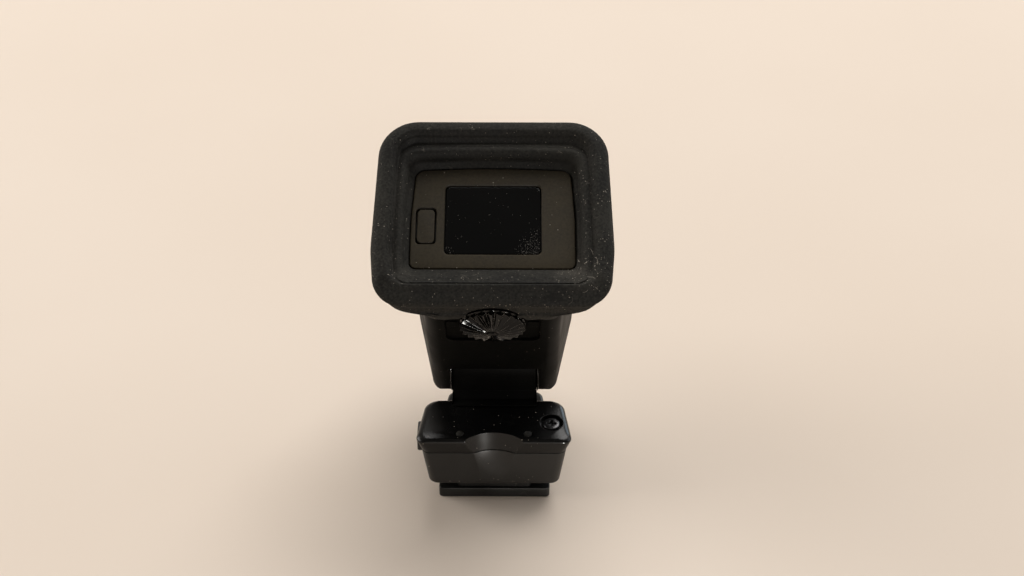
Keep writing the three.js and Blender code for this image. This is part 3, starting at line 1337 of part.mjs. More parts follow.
function lensCarrier() {
  const outer = tubeBlock(
    [-CARRIER_HALF, CARRIER_HALF], [CARRIER_START, CARRIER_END], [CARRIER_LOW, CARRIER_HIGH],
  );
  const axis = [0, OPTIC_AXIS];
  const beyond = CARRIER_END + OVERRUN;
  const seat = tubeRod(LENS_RADIUS + SEAT_GAP, CARRIER_START + LENS_SEAT, beyond, axis, LENS_SIDES);
  const before = CARRIER_START - OVERRUN;
  const aperture = tubeRod(LENS_RADIUS - LENS_SEAT, before, CARRIER_END, axis, LENS_SIDES);
  let made = outer.subtract(seat).subtract(aperture);
  GUIDES.forEach((at) => {
    made = made.subtract(tubeRod(GUIDE_ROD_RADIUS + BORE_CLEARANCE, before, beyond, at));
  });
  const grooveHalf = ECCENTRIC_RADIUS + CARRIER_GROOVE_CLEARANCE;
  const tongueTop = CARRIER_LOW + TONGUE_THICKNESS;
  const tongue = tubeBlock(
    [-DIAL_SHAFT_RADIUS - TONGUE_WALL, DIAL_SHAFT_RADIUS + TONGUE_WALL],
    [CARRIER_END - SEAT_GAP, DIAL_S + grooveHalf + TONGUE_WALL],
    [CARRIER_LOW, tongueTop],
  );
  const groove = tubeBlock(
    [-DIAL_SHAFT_RADIUS, DIAL_SHAFT_RADIUS + 2 * OVERRUN],
    [DIAL_S - grooveHalf, DIAL_S + grooveHalf],
    [CARRIER_LOW - OVERRUN, tongueTop + OVERRUN],
  );
  return made.add(tongue.subtract(groove));
}

// One lens, crowned on the faces asked for, with its middle at s.
function lens(s, frontCrown, rearCrown) {
  const edge = LENS_EDGE / 2;
  const profile = [[0, -edge - frontCrown]];
  for (let k = 1; k <= ARC_STEPS; k += 1) {
    const share = k / ARC_STEPS;
    profile.push([LENS_RADIUS * share, -edge - frontCrown * (1 - share * share)]);
  }
  for (let k = ARC_STEPS; k >= 1; k -= 1) {
    const share = k / ARC_STEPS;
    profile.push([LENS_RADIUS * share, edge + rearCrown * (1 - share * share)]);
  }
  profile.push([0, edge + rearCrown]);
  const points = profile.map(([radius, height]) => new THREE.Vector2(radius, height));
  const lathe = new THREE.LatheGeometry(points, LENS_SIDES);
  const made = lathe.rotateX(Math.PI).translate(0, -s, OPTIC_AXIS);
  const position = made.attributes.position.array;
  const index = Array.from(made.index.array);
  if (signedVolume(position, index) < 0) made.setIndex(index.reverse());
  return solid(made);
}

function lensRing() {
  const start = LENS_FIRST + 2 * LENS_PITCH + LENS_EDGE / 2 + SEAT_GAP;
  const axis = [0, OPTIC_AXIS];
  const disc = tubeRod(LENS_RADIUS, start, start + LENS_RING_THICKNESS, axis, LENS_SIDES);
  const opening = LENS_RADIUS - LENS_SEAT;
  return disc.subtract(tubeRod(opening, start - OVERRUN, start + OVERRUN, axis, LENS_SIDES));
}

// Electronics in the tube

function finderBoard() {
  const ends = [FINDER_BOARD_START, FINDER_BOARD_START + FINDER_BOARD_LENGTH];
  let made = tubeBlock([-FINDER_BOARD_HALF, FINDER_BOARD_HALF], ends, [BOARD_LOW, BOARD_HIGH]);
  [-BOARD_POST_X, BOARD_POST_X].forEach((x) => {
    made = made.add(rod('z', BOARD_POST_RADIUS, BRACKET_TOP_LOW, BOARD_HIGH, [x, -BOARD_POST_S]));
  });
  return made;
}

function driverChip() {
  const half = CHIP_SIZE / 2;
  const low = BOARD_HIGH + SEAT_GAP;
  return tubeBlock([-half, half], [CHIP_S - half, CHIP_S + half], [low, low + CHIP_HEIGHT]);
}

function finderRibbon() {
  return tubeBlock(
    [RIBBON_LEFT, BRACKET_SCREW_X - BRACKET_SCREW_HEAD - RUNNING_GAP],
    [PIVOT_S - RIBBON_THICKNESS / 2, PIVOT_S + RIBBON_THICKNESS / 2],
    [SLOT_HEIGHT + SEAT_GAP, BOARD_LOW - SEAT_GAP],
  );
}

// Eyepiece

function windowOutline(by) {
  return roundedRectangle(
    by - WINDOW_HALF, WINDOW_HALF - by, WINDOW_LOW + by, WINDOW_TOP - by, WINDOW_CORNER,
  );
}

function sensorOutline(by) {
  const half = SENSOR_HALF - by;
  const heights = [SENSOR_LOW + by, SENSOR_TOP - by];
  return roundedRectangle(SENSOR_X - half, SENSOR_X + half, ...heights, SENSOR_CORNER);
}

const FLANGE_SECTION = inset(HOUSING_SECTION, HOUSING_WALL);

function eyepieceFrame() {
  const flange = tubePrism(sectionOutline(FLANGE_SECTION), FLANGE_BACK, FLANGE_FACE);
  const low = CHASSIS_LOW - SEAT_GAP;
  const plugOuter = roundedRectangle(
    -CHASSIS_HALF, CHASSIS_HALF, low, CHASSIS_TOP, WINDOW_CORNER,
  );
  const plugStart = CHASSIS_END + SEAT_GAP;
  const plug = tubePrism(plugOuter, plugStart, FLANGE_BACK + SEAT_GAP);
  const opening = tubePrism(windowOutline(WINDOW_CORNER), plugStart - OVERRUN, FLANGE_FACE + OVERRUN);
  const moduleHalf = SENSOR_MODULE_HALF + SEAT_GAP;
  const moduleHeight = SENSOR_MODULE_HEIGHT / 2 + SEAT_GAP;
  const middle = (SENSOR_LOW + SENSOR_TOP) / 2;
  const sensorHole = tubeBlock(
    [SENSOR_X - moduleHalf, SENSOR_X + moduleHalf],
    [plugStart - OVERRUN, FLANGE_FACE + OVERRUN],
    [middle - moduleHeight, middle + moduleHeight],
  );
  const tongueSpace = tubeBlock(
    [-DIAL_SHAFT_RADIUS - OVERRUN, DIAL_SHAFT_RADIUS + OVERRUN],
    [plugStart - OVERRUN, plugStart + EYE_FRAME_PLUG],
    [low - OVERRUN, CARRIER_LOW + TONGUE_THICKNESS + RUNNING_GAP],
  );
  return flange.add(plug).subtract(opening).subtract(sensorHole).subtract(tongueSpace);
}

function eyePanel() {
  const plate = tubePrism(sectionOutline(PANEL_SECTION), PANEL_BACK, PANEL_FACE);
  const window = tubePrism(windowOutline(0), PANEL_BACK - OVERRUN, PANEL_FACE + OVERRUN);
  const sensor = tubePrism(sensorOutline(0), PANEL_BACK - OVERRUN, PANEL_FACE + OVERRUN);
  return plate.subtract(window).subtract(sensor);
}

function coverGlass() {
  const face = PANEL_FACE - GLASS_RECESS;
  return tubePrism(windowOutline(SEAT_GAP), face - GLASS_THICKNESS, face);
}

function sensorWindow() {
  return tubePrism(sensorOutline(SEAT_GAP), PANEL_BACK, PANEL_FACE - BORE_CLEARANCE);
}

function eyeSensor() {
  const middle = (SENSOR_LOW + SENSOR_TOP) / 2;
  const face = PANEL_BACK - SEAT_GAP;
  return tubeBlock(
    [SENSOR_X - SENSOR_MODULE_HALF, SENSOR_X + SENSOR_MODULE_HALF],
    [face - SENSOR_MODULE_DEPTH, face],
    [middle - SENSOR_MODULE_HEIGHT / 2, middle + SENSOR_MODULE_HEIGHT / 2],
  );
}

function sensorBoard() {
  const middle = (SENSOR_LOW + SENSOR_TOP) / 2;
  const face = PANEL_BACK - SEAT_GAP - SENSOR_MODULE_DEPTH - SEAT_GAP;
  return tubeBlock(
    [SENSOR_X - SENSOR_MODULE_HALF, SENSOR_X + SENSOR_MODULE_HALF],
    [face - SENSOR_BOARD_THICKNESS, face],
    [middle - SENSOR_MODULE_HEIGHT / 2, middle + SENSOR_MODULE_HEIGHT / 2],
  );
}

// The rubber: it flares from the housing to the rim, and dishes inwards from its rounded lip,
// over a crease, down to the panel. Behind it holds the eyepiece frame's flange.
function eyecup() {
  const flare = { ...inset(CUP_SECTION, CUP_FLARE_INSET), low: 0 };
  const crown = inset(CUP_SECTION, CUP_CROWN_INSET);
  const mouth = inset(PANEL_SECTION, -SEAT_GAP);
  const pocket = inset(FLANGE_SECTION, -SEAT_GAP);
  const pocketEnd = FLANGE_FACE + SEAT_GAP;
  const outer = loft([
    tubeRing(HOUSING_SECTION, FLANGE_BACK),
    tubeRing(flare, CUP_FLARE),
    tubeRing(inset(CUP_SECTION, SHEET_EDGE), CUP_WIDEST - CUP_CROWN_INSET),
    tubeRing(CUP_SECTION, CUP_WIDEST),
    tubeRing(inset(CUP_SECTION, SHEET_EDGE), CUP_FACE - SHEET_EDGE * 2),
    tubeRing(crown, CUP_FACE),
  ]);
  const dish = loft([
    tubeRing(crown, CUP_FACE + OVERRUN),
    tubeRing(crown, CUP_FACE),
    tubeRing(inset(CUP_SECTION, CUP_LIP_INSET), CUP_FACE - CUP_LIP_DROP),
    tubeRing(inset(CUP_SECTION, CUP_CREASE_INSET), CUP_FACE - CUP_CREASE_DROP),
    tubeRing(CUP_STEP_SECTION, CUP_STEP),
    tubeRing(mouth, CUP_LIP_FOOT),
    tubeRing(mouth, pocketEnd - SEAT_GAP),
  ]);
  const flangePocket = loft([tubeRing(pocket, FLANGE_BACK - OVERRUN), tubeRing(pocket, pocketEnd)]);
  const arch = rod(
    'z', DIAL_RADIUS + CUP_ARCH_CLEARANCE, CUP_LOW - OVERRUN, DIAL_RECESS_DEPTH + RUNNING_GAP,
    [0, -DIAL_S], ROUND_SIDES * 2,
  );
  return outer.subtract(dish).subtract(flangePocket).subtract(arch);
}

// Assembly

place(viewfinder, 'shoe_foot', shoeFoot(), 'footBlack');
place(viewfinder, 'foot_neck', footNeck(), 'footBlack');
place(viewfinder, 'contact_carrier', contactBlock(), 'innerBlack');
place(viewfinder, 'contact_comb', contactComb(), 'gold');
FOOT_SCREWS.forEach((at, i) => place(viewfinder, `foot_screw_${i + 1}`, footScrew(at), 'blackScrew'));
place(viewfinder, 'base_case', baseCase(), 'caseBlack');
place(viewfinder, 'base_cover', baseCover(), 'coverBlack');
place(viewfinder, 'cover_screw', coverScrew(), 'blackScrew');
place(viewfinder, 'rest_pad_left', restPad(-PAD_X), 'rubber');
place(viewfinder, 'rest_pad_right', restPad(PAD_X), 'rubber');
place(viewfinder, 'lock_button', lockButton(), 'caseBlack');
place(viewfinder, 'lock_lever', lockLever(), 'innerBlack');
place(viewfinder, 'lever_axle', leverAxle(), 'steel');
place(viewfinder, 'lock_pin', lockPin(), 'steel');
place(viewfinder, 'lock_spring', lockSpring(), 'steel');
place(viewfinder, 'base_board', baseBoard(), 'board');
place(viewfinder, 'board_socket', boardSocket(), 'chip');
place(viewfinder, 'base_ribbon', baseRibbon(), 'ribbon');
place(viewfinder, 'hinge_arm', hingeArm(), 'tubeBlack');
place(viewfinder, 'hinge_screw_left', hingeScrew(-1), 'steel');
place(viewfinder, 'hinge_screw_right', hingeScrew(1), 'steel');

place(tube, 'housing_lower', housingLower(), 'tubeBlack');
place(tube, 'housing_upper', housingUpper(), 'tubeBlack');
place(tube, 'front_cover', frontCover(), 'tubeBlack');
place(tube, 'tilt_bracket', tiltBracket(), 'steel');
BRACKET_SCREWS.forEach((at, i) => place(tube, `bracket_screw_${i + 1}`, bracketScrew(at), 'steel'));
place(tube, 'friction_washer_left', frictionWasher(-1), 'steel');
place(tube, 'friction_washer_right', frictionWasher(1), 'steel');
place(tube, 'finder_board', finderBoard(), 'board');
place(tube, 'driver_chip', driverChip(), 'chip');
place(tube, 'finder_ribbon', finderRibbon(), 'ribbon');
place(tube, 'optics_frame', opticsFrame(), 'innerBlack');
place(tube, 'display_plate', displayPlate(), 'steel');
place(tube, 'display_panel', displayPanel(), 'display');
GUIDES.forEach((at, i) => place(tube, `guide_rod_${i + 1}`, guideRod(at), 'steel'));
place(tube, 'lens_carrier', lensCarrier(), 'innerBlack');
place(tube, 'display_lens', lens(LENS_FIRST, LENS_CROWN, LENS_CROWN), 'lens');
place(tube, 'middle_lens', lens(LENS_FIRST + LENS_PITCH, LENS_CROWN, LENS_CROWN), 'lens');
place(tube, 'eye_lens', lens(LENS_FIRST + 2 * LENS_PITCH, LENS_CROWN, 0), 'lens');
place(tube, 'lens_ring', lensRing(), 'innerBlack');
place(tube, 'diopter_dial', diopterDial(), 'dial');
place(tube, 'dial_shaft', dialShaft(), 'innerBlack');
place(tube, 'dial_clip', dialClip(), 'steel');
place(tube, 'eyepiece_frame', eyepieceFrame(), 'innerBlack');
place(tube, 'eye_panel', eyePanel(), 'panel');
place(tube, 'cover_glass', coverGlass(), 'glass');
place(tube, 'sensor_window', sensorWindow(), 'panel');
place(tube, 'eye_sensor', eyeSensor(), 'chip');
place(tube, 'sensor_board', sensorBoard(), 'board');
place(tube, 'eyecup', eyecup(), 'rubber');

export default viewfinder;
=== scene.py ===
"""Dressed model of an electronic viewfinder on an accessory-shoe foot.

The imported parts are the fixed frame. Every shell that shows is worked out here as a numpy
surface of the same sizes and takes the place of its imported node. The pieces inside keep their
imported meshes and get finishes, apart from the lock's spring, which is wound anew. Lengths are
in millimetres until a mesh is written, and in metres from then on. The tilting tube is worked
out in axes of its own: x across it, s back from its front face towards the eyepiece, and t up
from its underside.
"""

from __future__ import annotations

import logging
from dataclasses import dataclass, replace
from enum import Enum
from functools import cache
from typing import Callable, Iterable, NamedTuple, Sequence

import bpy
import numpy as np
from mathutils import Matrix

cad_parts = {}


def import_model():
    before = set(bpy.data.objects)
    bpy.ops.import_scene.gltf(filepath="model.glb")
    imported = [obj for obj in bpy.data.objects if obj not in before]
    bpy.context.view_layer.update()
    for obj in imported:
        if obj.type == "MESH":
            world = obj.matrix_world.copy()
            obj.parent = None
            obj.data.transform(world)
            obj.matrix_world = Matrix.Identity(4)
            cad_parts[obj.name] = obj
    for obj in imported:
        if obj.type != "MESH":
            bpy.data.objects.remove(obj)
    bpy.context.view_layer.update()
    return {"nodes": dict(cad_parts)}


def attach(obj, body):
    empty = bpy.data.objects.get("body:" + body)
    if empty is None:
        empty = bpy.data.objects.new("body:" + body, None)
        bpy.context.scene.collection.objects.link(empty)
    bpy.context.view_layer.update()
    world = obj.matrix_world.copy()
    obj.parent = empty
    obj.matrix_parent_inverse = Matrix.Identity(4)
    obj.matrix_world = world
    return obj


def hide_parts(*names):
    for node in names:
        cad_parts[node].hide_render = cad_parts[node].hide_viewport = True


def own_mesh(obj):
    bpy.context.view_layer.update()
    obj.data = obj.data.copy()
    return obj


LOG = logging.getLogger("viewfinder")
METRES = 0.001

# Fits shared by the pieces, and how far a cutter runs past what it cuts
SEAT_GAP = 0.15
BORE_CLEARANCE = 0.1
OVERRUN = 1.5
FAR_END = 99.0

# Fineness of the surfaces
ARC_POINTS = 14
STRAIGHT_POINTS = 14
ROUND_STEPS = 8
ROD_SIDES = 64

SIDES = (("left", -1), ("right", 1))

Span = float | Sequence[float]
Pair = tuple[float, float]
Triple = tuple[float, float, float]
Colour = tuple[int, int, int]
Socket = bpy.types.NodeSocket


class Body(Enum):
    """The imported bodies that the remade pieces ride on."""

    BASE = "base"
    FINDER = "finder"
    DIAL = "dial"
    BUTTON = "button"


class Axis(Enum):
    """The axis that a rod runs along."""

    X = 0
    Z = 2


# Outlines


def unit(vectors: np.ndarray) -> np.ndarray:
    """Return vectors of length one in the same directions."""
    return vectors / np.linalg.norm(vectors, axis=-1, keepdims=True)


def rounded_outline(corners: np.ndarray) -> np.ndarray:
    """Round each corner of a polygon with an arc that touches both its sides.

    The arc's centre lies on the corner's bisector at radius / sin(half the corner's angle).
    From its tangent point the arc turns through the outside angle. The straight sides between
    two arcs are cut into even lengths.

    Args:
        corners: One row of a, b and radius for each corner, counterclockwise.

    Returns:
        The outline's points, one row of a and b each.
    """
    corners = np.asarray(corners, float)
    point, radius = corners[:, :2], corners[:, 2]
    to_before = unit(np.roll(point, 1, axis=0) - point)
    to_after = unit(np.roll(point, -1, axis=0) - point)
    half = np.arccos(np.clip((to_before * to_after).sum(1), -1, 1)) / 2
    centre = point + unit(to_before + to_after) * (radius / np.sin(half))[:, None]
    start = point + to_before * (radius / np.tan(half))[:, None] - centre
    angle = (np.pi - 2 * half)[:, None] * np.linspace(0, 1, ARC_POINTS)
    cos, sin = np.cos(angle), np.sin(angle)
    turned_a = start[:, 0, None] * cos - start[:, 1, None] * sin
    turned_b = start[:, 0, None] * sin + start[:, 1, None] * cos
    arcs = centre[:, None] + np.stack([turned_a, turned_b], axis=-1)
    last = arcs[:, -1]
    following = np.roll(arcs[:, 0], -1, axis=0)
    share = np.arange(1, STRAIGHT_POINTS + 1)[None, :, None] / (STRAIGHT_POINTS + 1)
    sides = last[:, None] + (following - last)[:, None] * share
    return np.concatenate([arcs, sides], axis=1).reshape(-1, 2)


def ends(span: Span) -> Pair:
    """Return a span's two ends. One number means that far to either side of the middle."""
    return (-span, span) if np.isscalar(span) else (span[0], span[1])


def widened(span: Sequence[float], by: float) -> Pair:
    """Return a span that reaches further by the same distance at both ends."""
    return span[0] - by, span[1] + by


def rounded_rectangle(a_span: Span, b_span: Span, radius: float) -> np.ndarray:
    """Return a rectangle's outline with four equal rounded corners."""
    (a_low, a_high), (b_low, b_high) = ends(a_span), ends(b_span)
    corners = [[a_low, b_low], [a_high, b_low], [a_high, b_high], [a_low, b_high]]
    return rounded_outline(np.column_stack([corners, np.full(4, radius)]))


def quarter_round(radius: float, steps: int = ROUND_STEPS) -> tuple[np.ndarray, np.ndarray]:
    """Return a rounded edge, step by step: how far it is drawn in, and how far along it is."""
    angle = np.linspace(0, np.pi / 2, steps)
    return radius * (1 - np.sin(angle)), radius * (1 - np.cos(angle))


@dataclass(frozen=True)
class Section:
    """A six-cornered outline across the tube: low corners, side knees and top corners."""

    low: float
    knee: float
    top: float
    low_half: float
    knee_half: float
    top_half: float
    low_round: float
    knee_reach: float
    top_round: float
    arch: float = 0.0
    smallest_round: float = 0.3

    def inset(self, by: float) -> Section:
        """Return the same section, drawn in by a distance all round."""
        return replace(
            self,
            low=self.low + by,
            top=self.top - by,
            low_half=self.low_half - by,
            knee_half=self.knee_half - by,
            top_half=self.top_half - by,
            low_round=max(self.low_round - by, self.smallest_round),
            top_round=max(self.top_round - by, self.smallest_round),
        )

    def outline(self) -> np.ndarray:
        """Return the outline's points in x and t.

        A knee's arc takes up knee_reach of each side, so its radius is that reach over the
        tangent of half the turn. Above the knee, t drops by arch times the square of x over
        the top's half width, which curves the top edge.
        """
        lean_below = np.arctan2(self.knee_half - self.low_half, self.knee - self.low)
        lean_above = np.arctan2(self.knee_half - self.top_half, self.top - self.knee)
        knee_round = self.knee_reach / np.tan((lean_below + lean_above) / 2)
        right = [
            [self.low_half, self.low, self.low_round],
            [self.knee_half, self.knee, knee_round],
            [self.top_half, self.top, self.top_round],
        ]
        left = [[-a, b, radius] for a, b, radius in reversed(right)]
        points = rounded_outline(np.array(right + left))
        rise = np.clip((points[:, 1] - self.knee) / (self.top - self.knee), 0, 1)
        points[:, 1] -= self.arch * rise**2 * (points[:, 0] / self.top_half) ** 2
        return points

    def ring(self, s: float) -> np.ndarray:
        """Return the outline as a ring across the tube at s, in the tube's x, y and z."""
        return across_tube(self.outline(), s)


# Surfaces


@dataclass
class Skin:
    """A closed surface: its points in millimetres and its faces."""

    points: np.ndarray
    faces: list[list[int]]

    def moved(self, points: np.ndarray) -> Skin:
        """Return a skin with the same faces over other points."""
        return Skin(points, self.faces)


def grid_faces(rows: int, columns: int, wrap_rows: bool = False) -> np.ndarray:
    """Return the four corners of each cell of a grid whose columns run round a loop."""
    row = np.arange(rows if wrap_rows else rows - 1)[:, None]
    column = np.arange(columns)[None, :]
    across = (column + 1) % columns
    down = (row + 1) % rows
    cells = [
        row * columns + column,
        row * columns + across,
        down * columns + across,
        down * columns + column,
    ]
    return np.stack(cells, axis=-1).reshape(-1, 4)


def loft(rings: Sequence[np.ndarray], loop: bool = False) -> Skin:
    """Join rings of equal point counts into one closed skin.

    Args:
        rings: The rings in order, each an array of points.
        loop: Whether the last ring runs on to the first. If not, flat ends close it.

    Returns:
        The skin.
    """
    stack = np.asarray(rings, float)
    rows, columns = stack.shape[:2]
    faces = grid_faces(rows, columns, loop).tolist()
    if not loop:
        last = (rows - 1) * columns
        faces.append(list(range(columns - 1, -1, -1)))
        faces.append(list(range(last, last + columns)))
    return Skin(stack.reshape(-1, 3), faces)


def eased_rings(control: Sequence[np.ndarray], steps: int) -> list[np.ndarray]:
    """Pass a smooth surface through control rings.

    Between two rings each point follows a cubic whose end slopes are the weighted means of
    the slopes on either side, with the rings' mean distances as the parameter.

    Args:
        control: The rings to pass through.
        steps: Rings made from each control ring to the next.

    Returns:
        The rings of the finer surface.
    """
    rings = np.asarray(control, float)
    apart = np.linalg.norm(np.diff(rings, axis=0), axis=2).mean(1)
    slope = np.diff(rings, axis=0) / apart[:, None, None]
    inner = (slope[:-1] * apart[1:, None, None] + slope[1:] * apart[:-1, None, None]) / (
        apart[1:] + apart[:-1]
    )[:, None, None]
    slopes = np.concatenate([slope[:1], inner, slope[-1:]])
    u = (np.arange(steps) / steps)[None, :, None, None]
    start, end = rings[:-1, None], rings[1:, None]
    span = apart[:, None, None, None]
    eased = (
        (2 * u**3 - 3 * u**2 + 1) * start
        + (u**3 - 2 * u**2 + u) * span * slopes[:-1, None]
        + (3 * u**2 - 2 * u**3) * end
        + (u**3 - u**2) * span * slopes[1:, None]
    )
    return [*eased.reshape(-1, *rings.shape[1:]), rings[-1]]


def upright(outline: np.ndarray, z: float) -> np.ndarray:
    """Return an outline in x and y as a ring at height z."""
    return np.column_stack([outline, np.full(len(outline), z)])


def across_tube(outline: np.ndarray, s: float) -> np.ndarray:
    """Return an outline in x and t as a ring across the tube at s."""
    return np.column_stack([outline[:, 0], np.full(len(outline), -s), outline[:, 1]])


def sideways(outline: np.ndarray, x: float) -> np.ndarray:
    """Return an outline in y and z as a ring at x."""
    return np.column_stack([np.full(len(outline), x), outline])


def grown(outline: np.ndarray, by: float) -> np.ndarray:
    """Move each point of an outline outwards along the mean normal of its two sides."""
    ahead = unit(np.roll(outline, -1, axis=0) - outline)
    tangent = unit(ahead + np.roll(ahead, 1, axis=0))
    return outline + by * np.column_stack([tangent[:, 1], -tangent[:, 0]])


def block(x_span: Span, y_span: Span, z_span: Span) -> Skin:
    """Return a plain box, used only to cut with or as a stub inside another piece."""
    x, y, z = ends(x_span), ends(y_span), ends(z_span)
    order = ((0, 0), (1, 0), (1, 1), (0, 1))
    return loft(np.array([[[x[i], y[j], height] for i, j in order] for height in z]))


def tube_block(x_span: Span, s_span: Sequence[float], t_span: Sequence[float]) -> Skin:
    """Return a box in the tube's own axes."""
    return block(x_span, (-s_span[1], -s_span[0]), t_span)


def turned(
    axis: Axis, profile: np.ndarray, at: Sequence[float], sides: int = ROD_SIDES
) -> Skin:
    """Turn a profile about an axis.

    Args:
        axis: The axis that the piece is turned about.
        profile: Rows of radius and place along the axis, none of them on it.
        at: The axis's two other coordinates, in x, y, z order.
        sides: Points round the axis.

    Returns:
        The skin, flat at both ends.
    """
    profile = np.asarray(profile, float)
    angle = np.arange(sides) * 2 * np.pi / sides
    a = at[0] + profile[:, 0, None] * np.cos(angle)
    b = at[1] + profile[:, 0, None] * np.sin(angle)
    along = np.broadcast_to(profile[:, 1, None], a.shape)
    parts = [a, b]
    parts.insert(axis.value, along)
    return loft(np.stack(parts, axis=-1))


def rod(
    axis: Axis,
    radius: float,
    span: Span,
    at: Sequence[float],
    edge: float = 0.0,
    sides: int = ROD_SIDES,
) -> Skin:
    """Return a round bar between two places on its axis, its end edges rounded by edge."""
    low, high = sorted(ends(span))
    if not edge:
        return turned(axis, [[radius, low], [radius, high]], at, sides)
    by, along = quarter_round(edge)
    start = np.column_stack([radius - by, low + along])
    end = start[::-1] * [1, -1] + [0, low + high]
    return turned(axis, np.concatenate([start, end]), at, sides)


@dataclass(frozen=True)
class TubeFrame:
    """Where the tilting tube stands: its pivot, and its own origin measured from it."""

    pivot_y: float = 5.83
    pivot_z: float = 17.8
    front_to_pivot: float = 5.1
    underside_to_pivot: float = 4.0
    tilt_deg: float = 62.0

    def place(self, skin: Skin) -> Skin:
        """Turn a skin from the tube's axes to the part's, about the pivot."""
        tilt = -np.radians(self.tilt_deg)
        y = skin.points[:, 1] + self.front_to_pivot
        z = skin.points[:, 2] - self.underside_to_pivot
        turned_y = y * np.cos(tilt) - z * np.sin(tilt) + self.pivot_y
        turned_z = y * np.sin(tilt) + z * np.cos(tilt) + self.pivot_z
        return skin.moved(np.column_stack([skin.points[:, 0], turned_y, turned_z]))


TUBE = TubeFrame()


# Blender objects


def object_of(name: str, skin: Skin) -> bpy.types.Object:
    """Write a skin into a new object at the origin, in metres, its faces pointing outwards."""
    mesh = bpy.data.meshes.new(name)
    mesh.from_pydata((skin.points * METRES).tolist(), [], skin.faces)
    mesh.update()
    if signed_volume(mesh) < 0:
        mesh.flip_normals()
    made = bpy.data.objects.new(name, mesh)
    bpy.context.scene.collection.objects.link(made)
    return made


def mesh_points(mesh: bpy.types.Mesh) -> np.ndarray:
    """Return a mesh's points in millimetres."""
    points = np.empty(len(mesh.vertices) * 3)
    mesh.vertices.foreach_get("co", points)
    return points.reshape(-1, 3) / METRES


def signed_volume(mesh: bpy.types.Mesh) -> float:
    """Return six times the volume inside a mesh's triangles, negative if it is inside out."""
    mesh.calc_loop_triangles()
    corners = np.empty(len(mesh.loop_triangles) * 3, np.int32)
    mesh.loop_triangles.foreach_get("vertices", corners)
    p, q, r = mesh_points(mesh)[corners.reshape(-1, 3)].transpose(1, 0, 2)
    return float((p * np.cross(q, r)).sum())


class Cut(Enum):
    """What a second solid does to the first."""

    AWAY = "DIFFERENCE"
    JOIN = "UNION"
    KEEP = "INTERSECT"

    def by(self, *skins: Skin) -> list[tuple[Cut, Skin]]:
        """Return steps for carve that use each of some solids in this way."""
        return [(self, skin) for skin in skins]


def carve(
    made: bpy.types.Object, steps: Iterable[tuple[Cut, Skin]]
) -> bpy.types.Object:
    """Cut, join or intersect an object with further solids, in order.

    Args:
        made: The object to work on.
        steps: Pairs of what to do and the solid that does it.

    Returns:
        The same object with its new mesh.
    """
    for how, skin in steps:
        tool = object_of("tool", skin)
        modifier = made.modifiers.new("carve", "BOOLEAN")
        modifier.operation = how.value
        modifier.solver = "MANIFOLD"
        modifier.object = tool
        bake_modifiers(made)
        bpy.data.objects.remove(tool)
    return made


def bake_modifiers(made: bpy.types.Object) -> None:
    """Replace an object's mesh by what its modifiers make of it."""
    depsgraph = bpy.context.evaluated_depsgraph_get()
    mesh = bpy.data.meshes.new_from_object(made.evaluated_get(depsgraph))
    made.modifiers.clear()
    made.data = mesh


def smooth(made: bpy.types.Object, sharp_deg: float) -> None:
    """Shade an object smooth, apart from edges sharper than an angle."""
    mesh = made.data
    mesh.polygons.foreach_set("use_smooth", np.ones(len(mesh.polygons), bool))
    mesh.set_sharp_from_angle(angle=float(np.radians(sharp_deg)))
    mesh.update()


# Shader groups


def linear(red: int, green: int, blue: int) -> tuple[float, float, float, float]:
    """Return a colour given as it shows on screen, 0 to 255, in the linear values of nodes."""
    share = np.array([red, green, blue]) / 255
    low = share / 12.92
    high = ((share + 0.055) / 1.055) ** 2.4
    return (*np.where(share <= 0.04045, low, high).tolist(), 1.0)


class Graph:
    """A node tree with short ways to add and join nodes."""

    def __init__(self, tree: bpy.types.NodeTree) -> None:
        """Hold the tree that nodes are added to."""
        self.tree = tree

    def add(self, kind: str, values: dict | None = None, **settings) -> bpy.types.Node:
        """Add a node.

        Args:
            kind: The node's type name, without its ShaderNode prefix.
            values: Input names or numbers, each with a plain value or a socket to join.
            settings: The node's own properties.

        Returns:
            The node.
        """
        node = self.tree.nodes.new("ShaderNode" + kind)
        for name, setting in settings.items():
            setattr(node, name, setting)
        for name, value in (values or {}).items():
            self.set(node.inputs[name], value)
        return node

    def set(self, socket: Socket, value: object) -> None:
        """Join a socket to an input, or set its plain value."""
        if isinstance(value, bpy.types.NodeSocket):
            self.tree.links.new(value, socket)
        else:
            socket.default_value = value

    def math(self, operation: str, *values: object, clamp: bool = False) -> Socket:
        """Add a Math node and return its result."""
        node = self.add("Math", operation=operation, use_clamp=clamp)
        for socket, value in zip(node.inputs, values):
            self.set(socket, value)
        return node.outputs[0]

    def spread(
        self, value: Socket, span: Sequence[float], out: Sequence[float] = (0.0, 1.0)
    ) -> Socket:
        """Map a value from one span to another, held at the ends."""
        values = {"Value": value, "From Min": span[0], "From Max": span[1]}
        values |= {"To Min": out[0], "To Max": out[1]}
        return self.add("MapRange", values, clamp=True).outputs["Result"]

    def blend(self, share: object, first: object, second: object) -> Socket:
        """Mix two colours by a share."""
        node = self.add("Mix", data_type="RGBA")
        self.set(node.inputs[0], share)
        self.set(node.inputs[6], first)
        self.set(node.inputs[7], second)
        return node.outputs[2]

    def noise(self, place: Socket, scale: object, detail: float = 2.0) -> Socket:
        """Add a noise texture and return its value."""
        values = {"Vector": place, "Scale": scale, "Detail": detail}
        return self.add("TexNoise", values).outputs[0]


VECTOR_SOCKETS = ("Place", "Centre", "Normal")


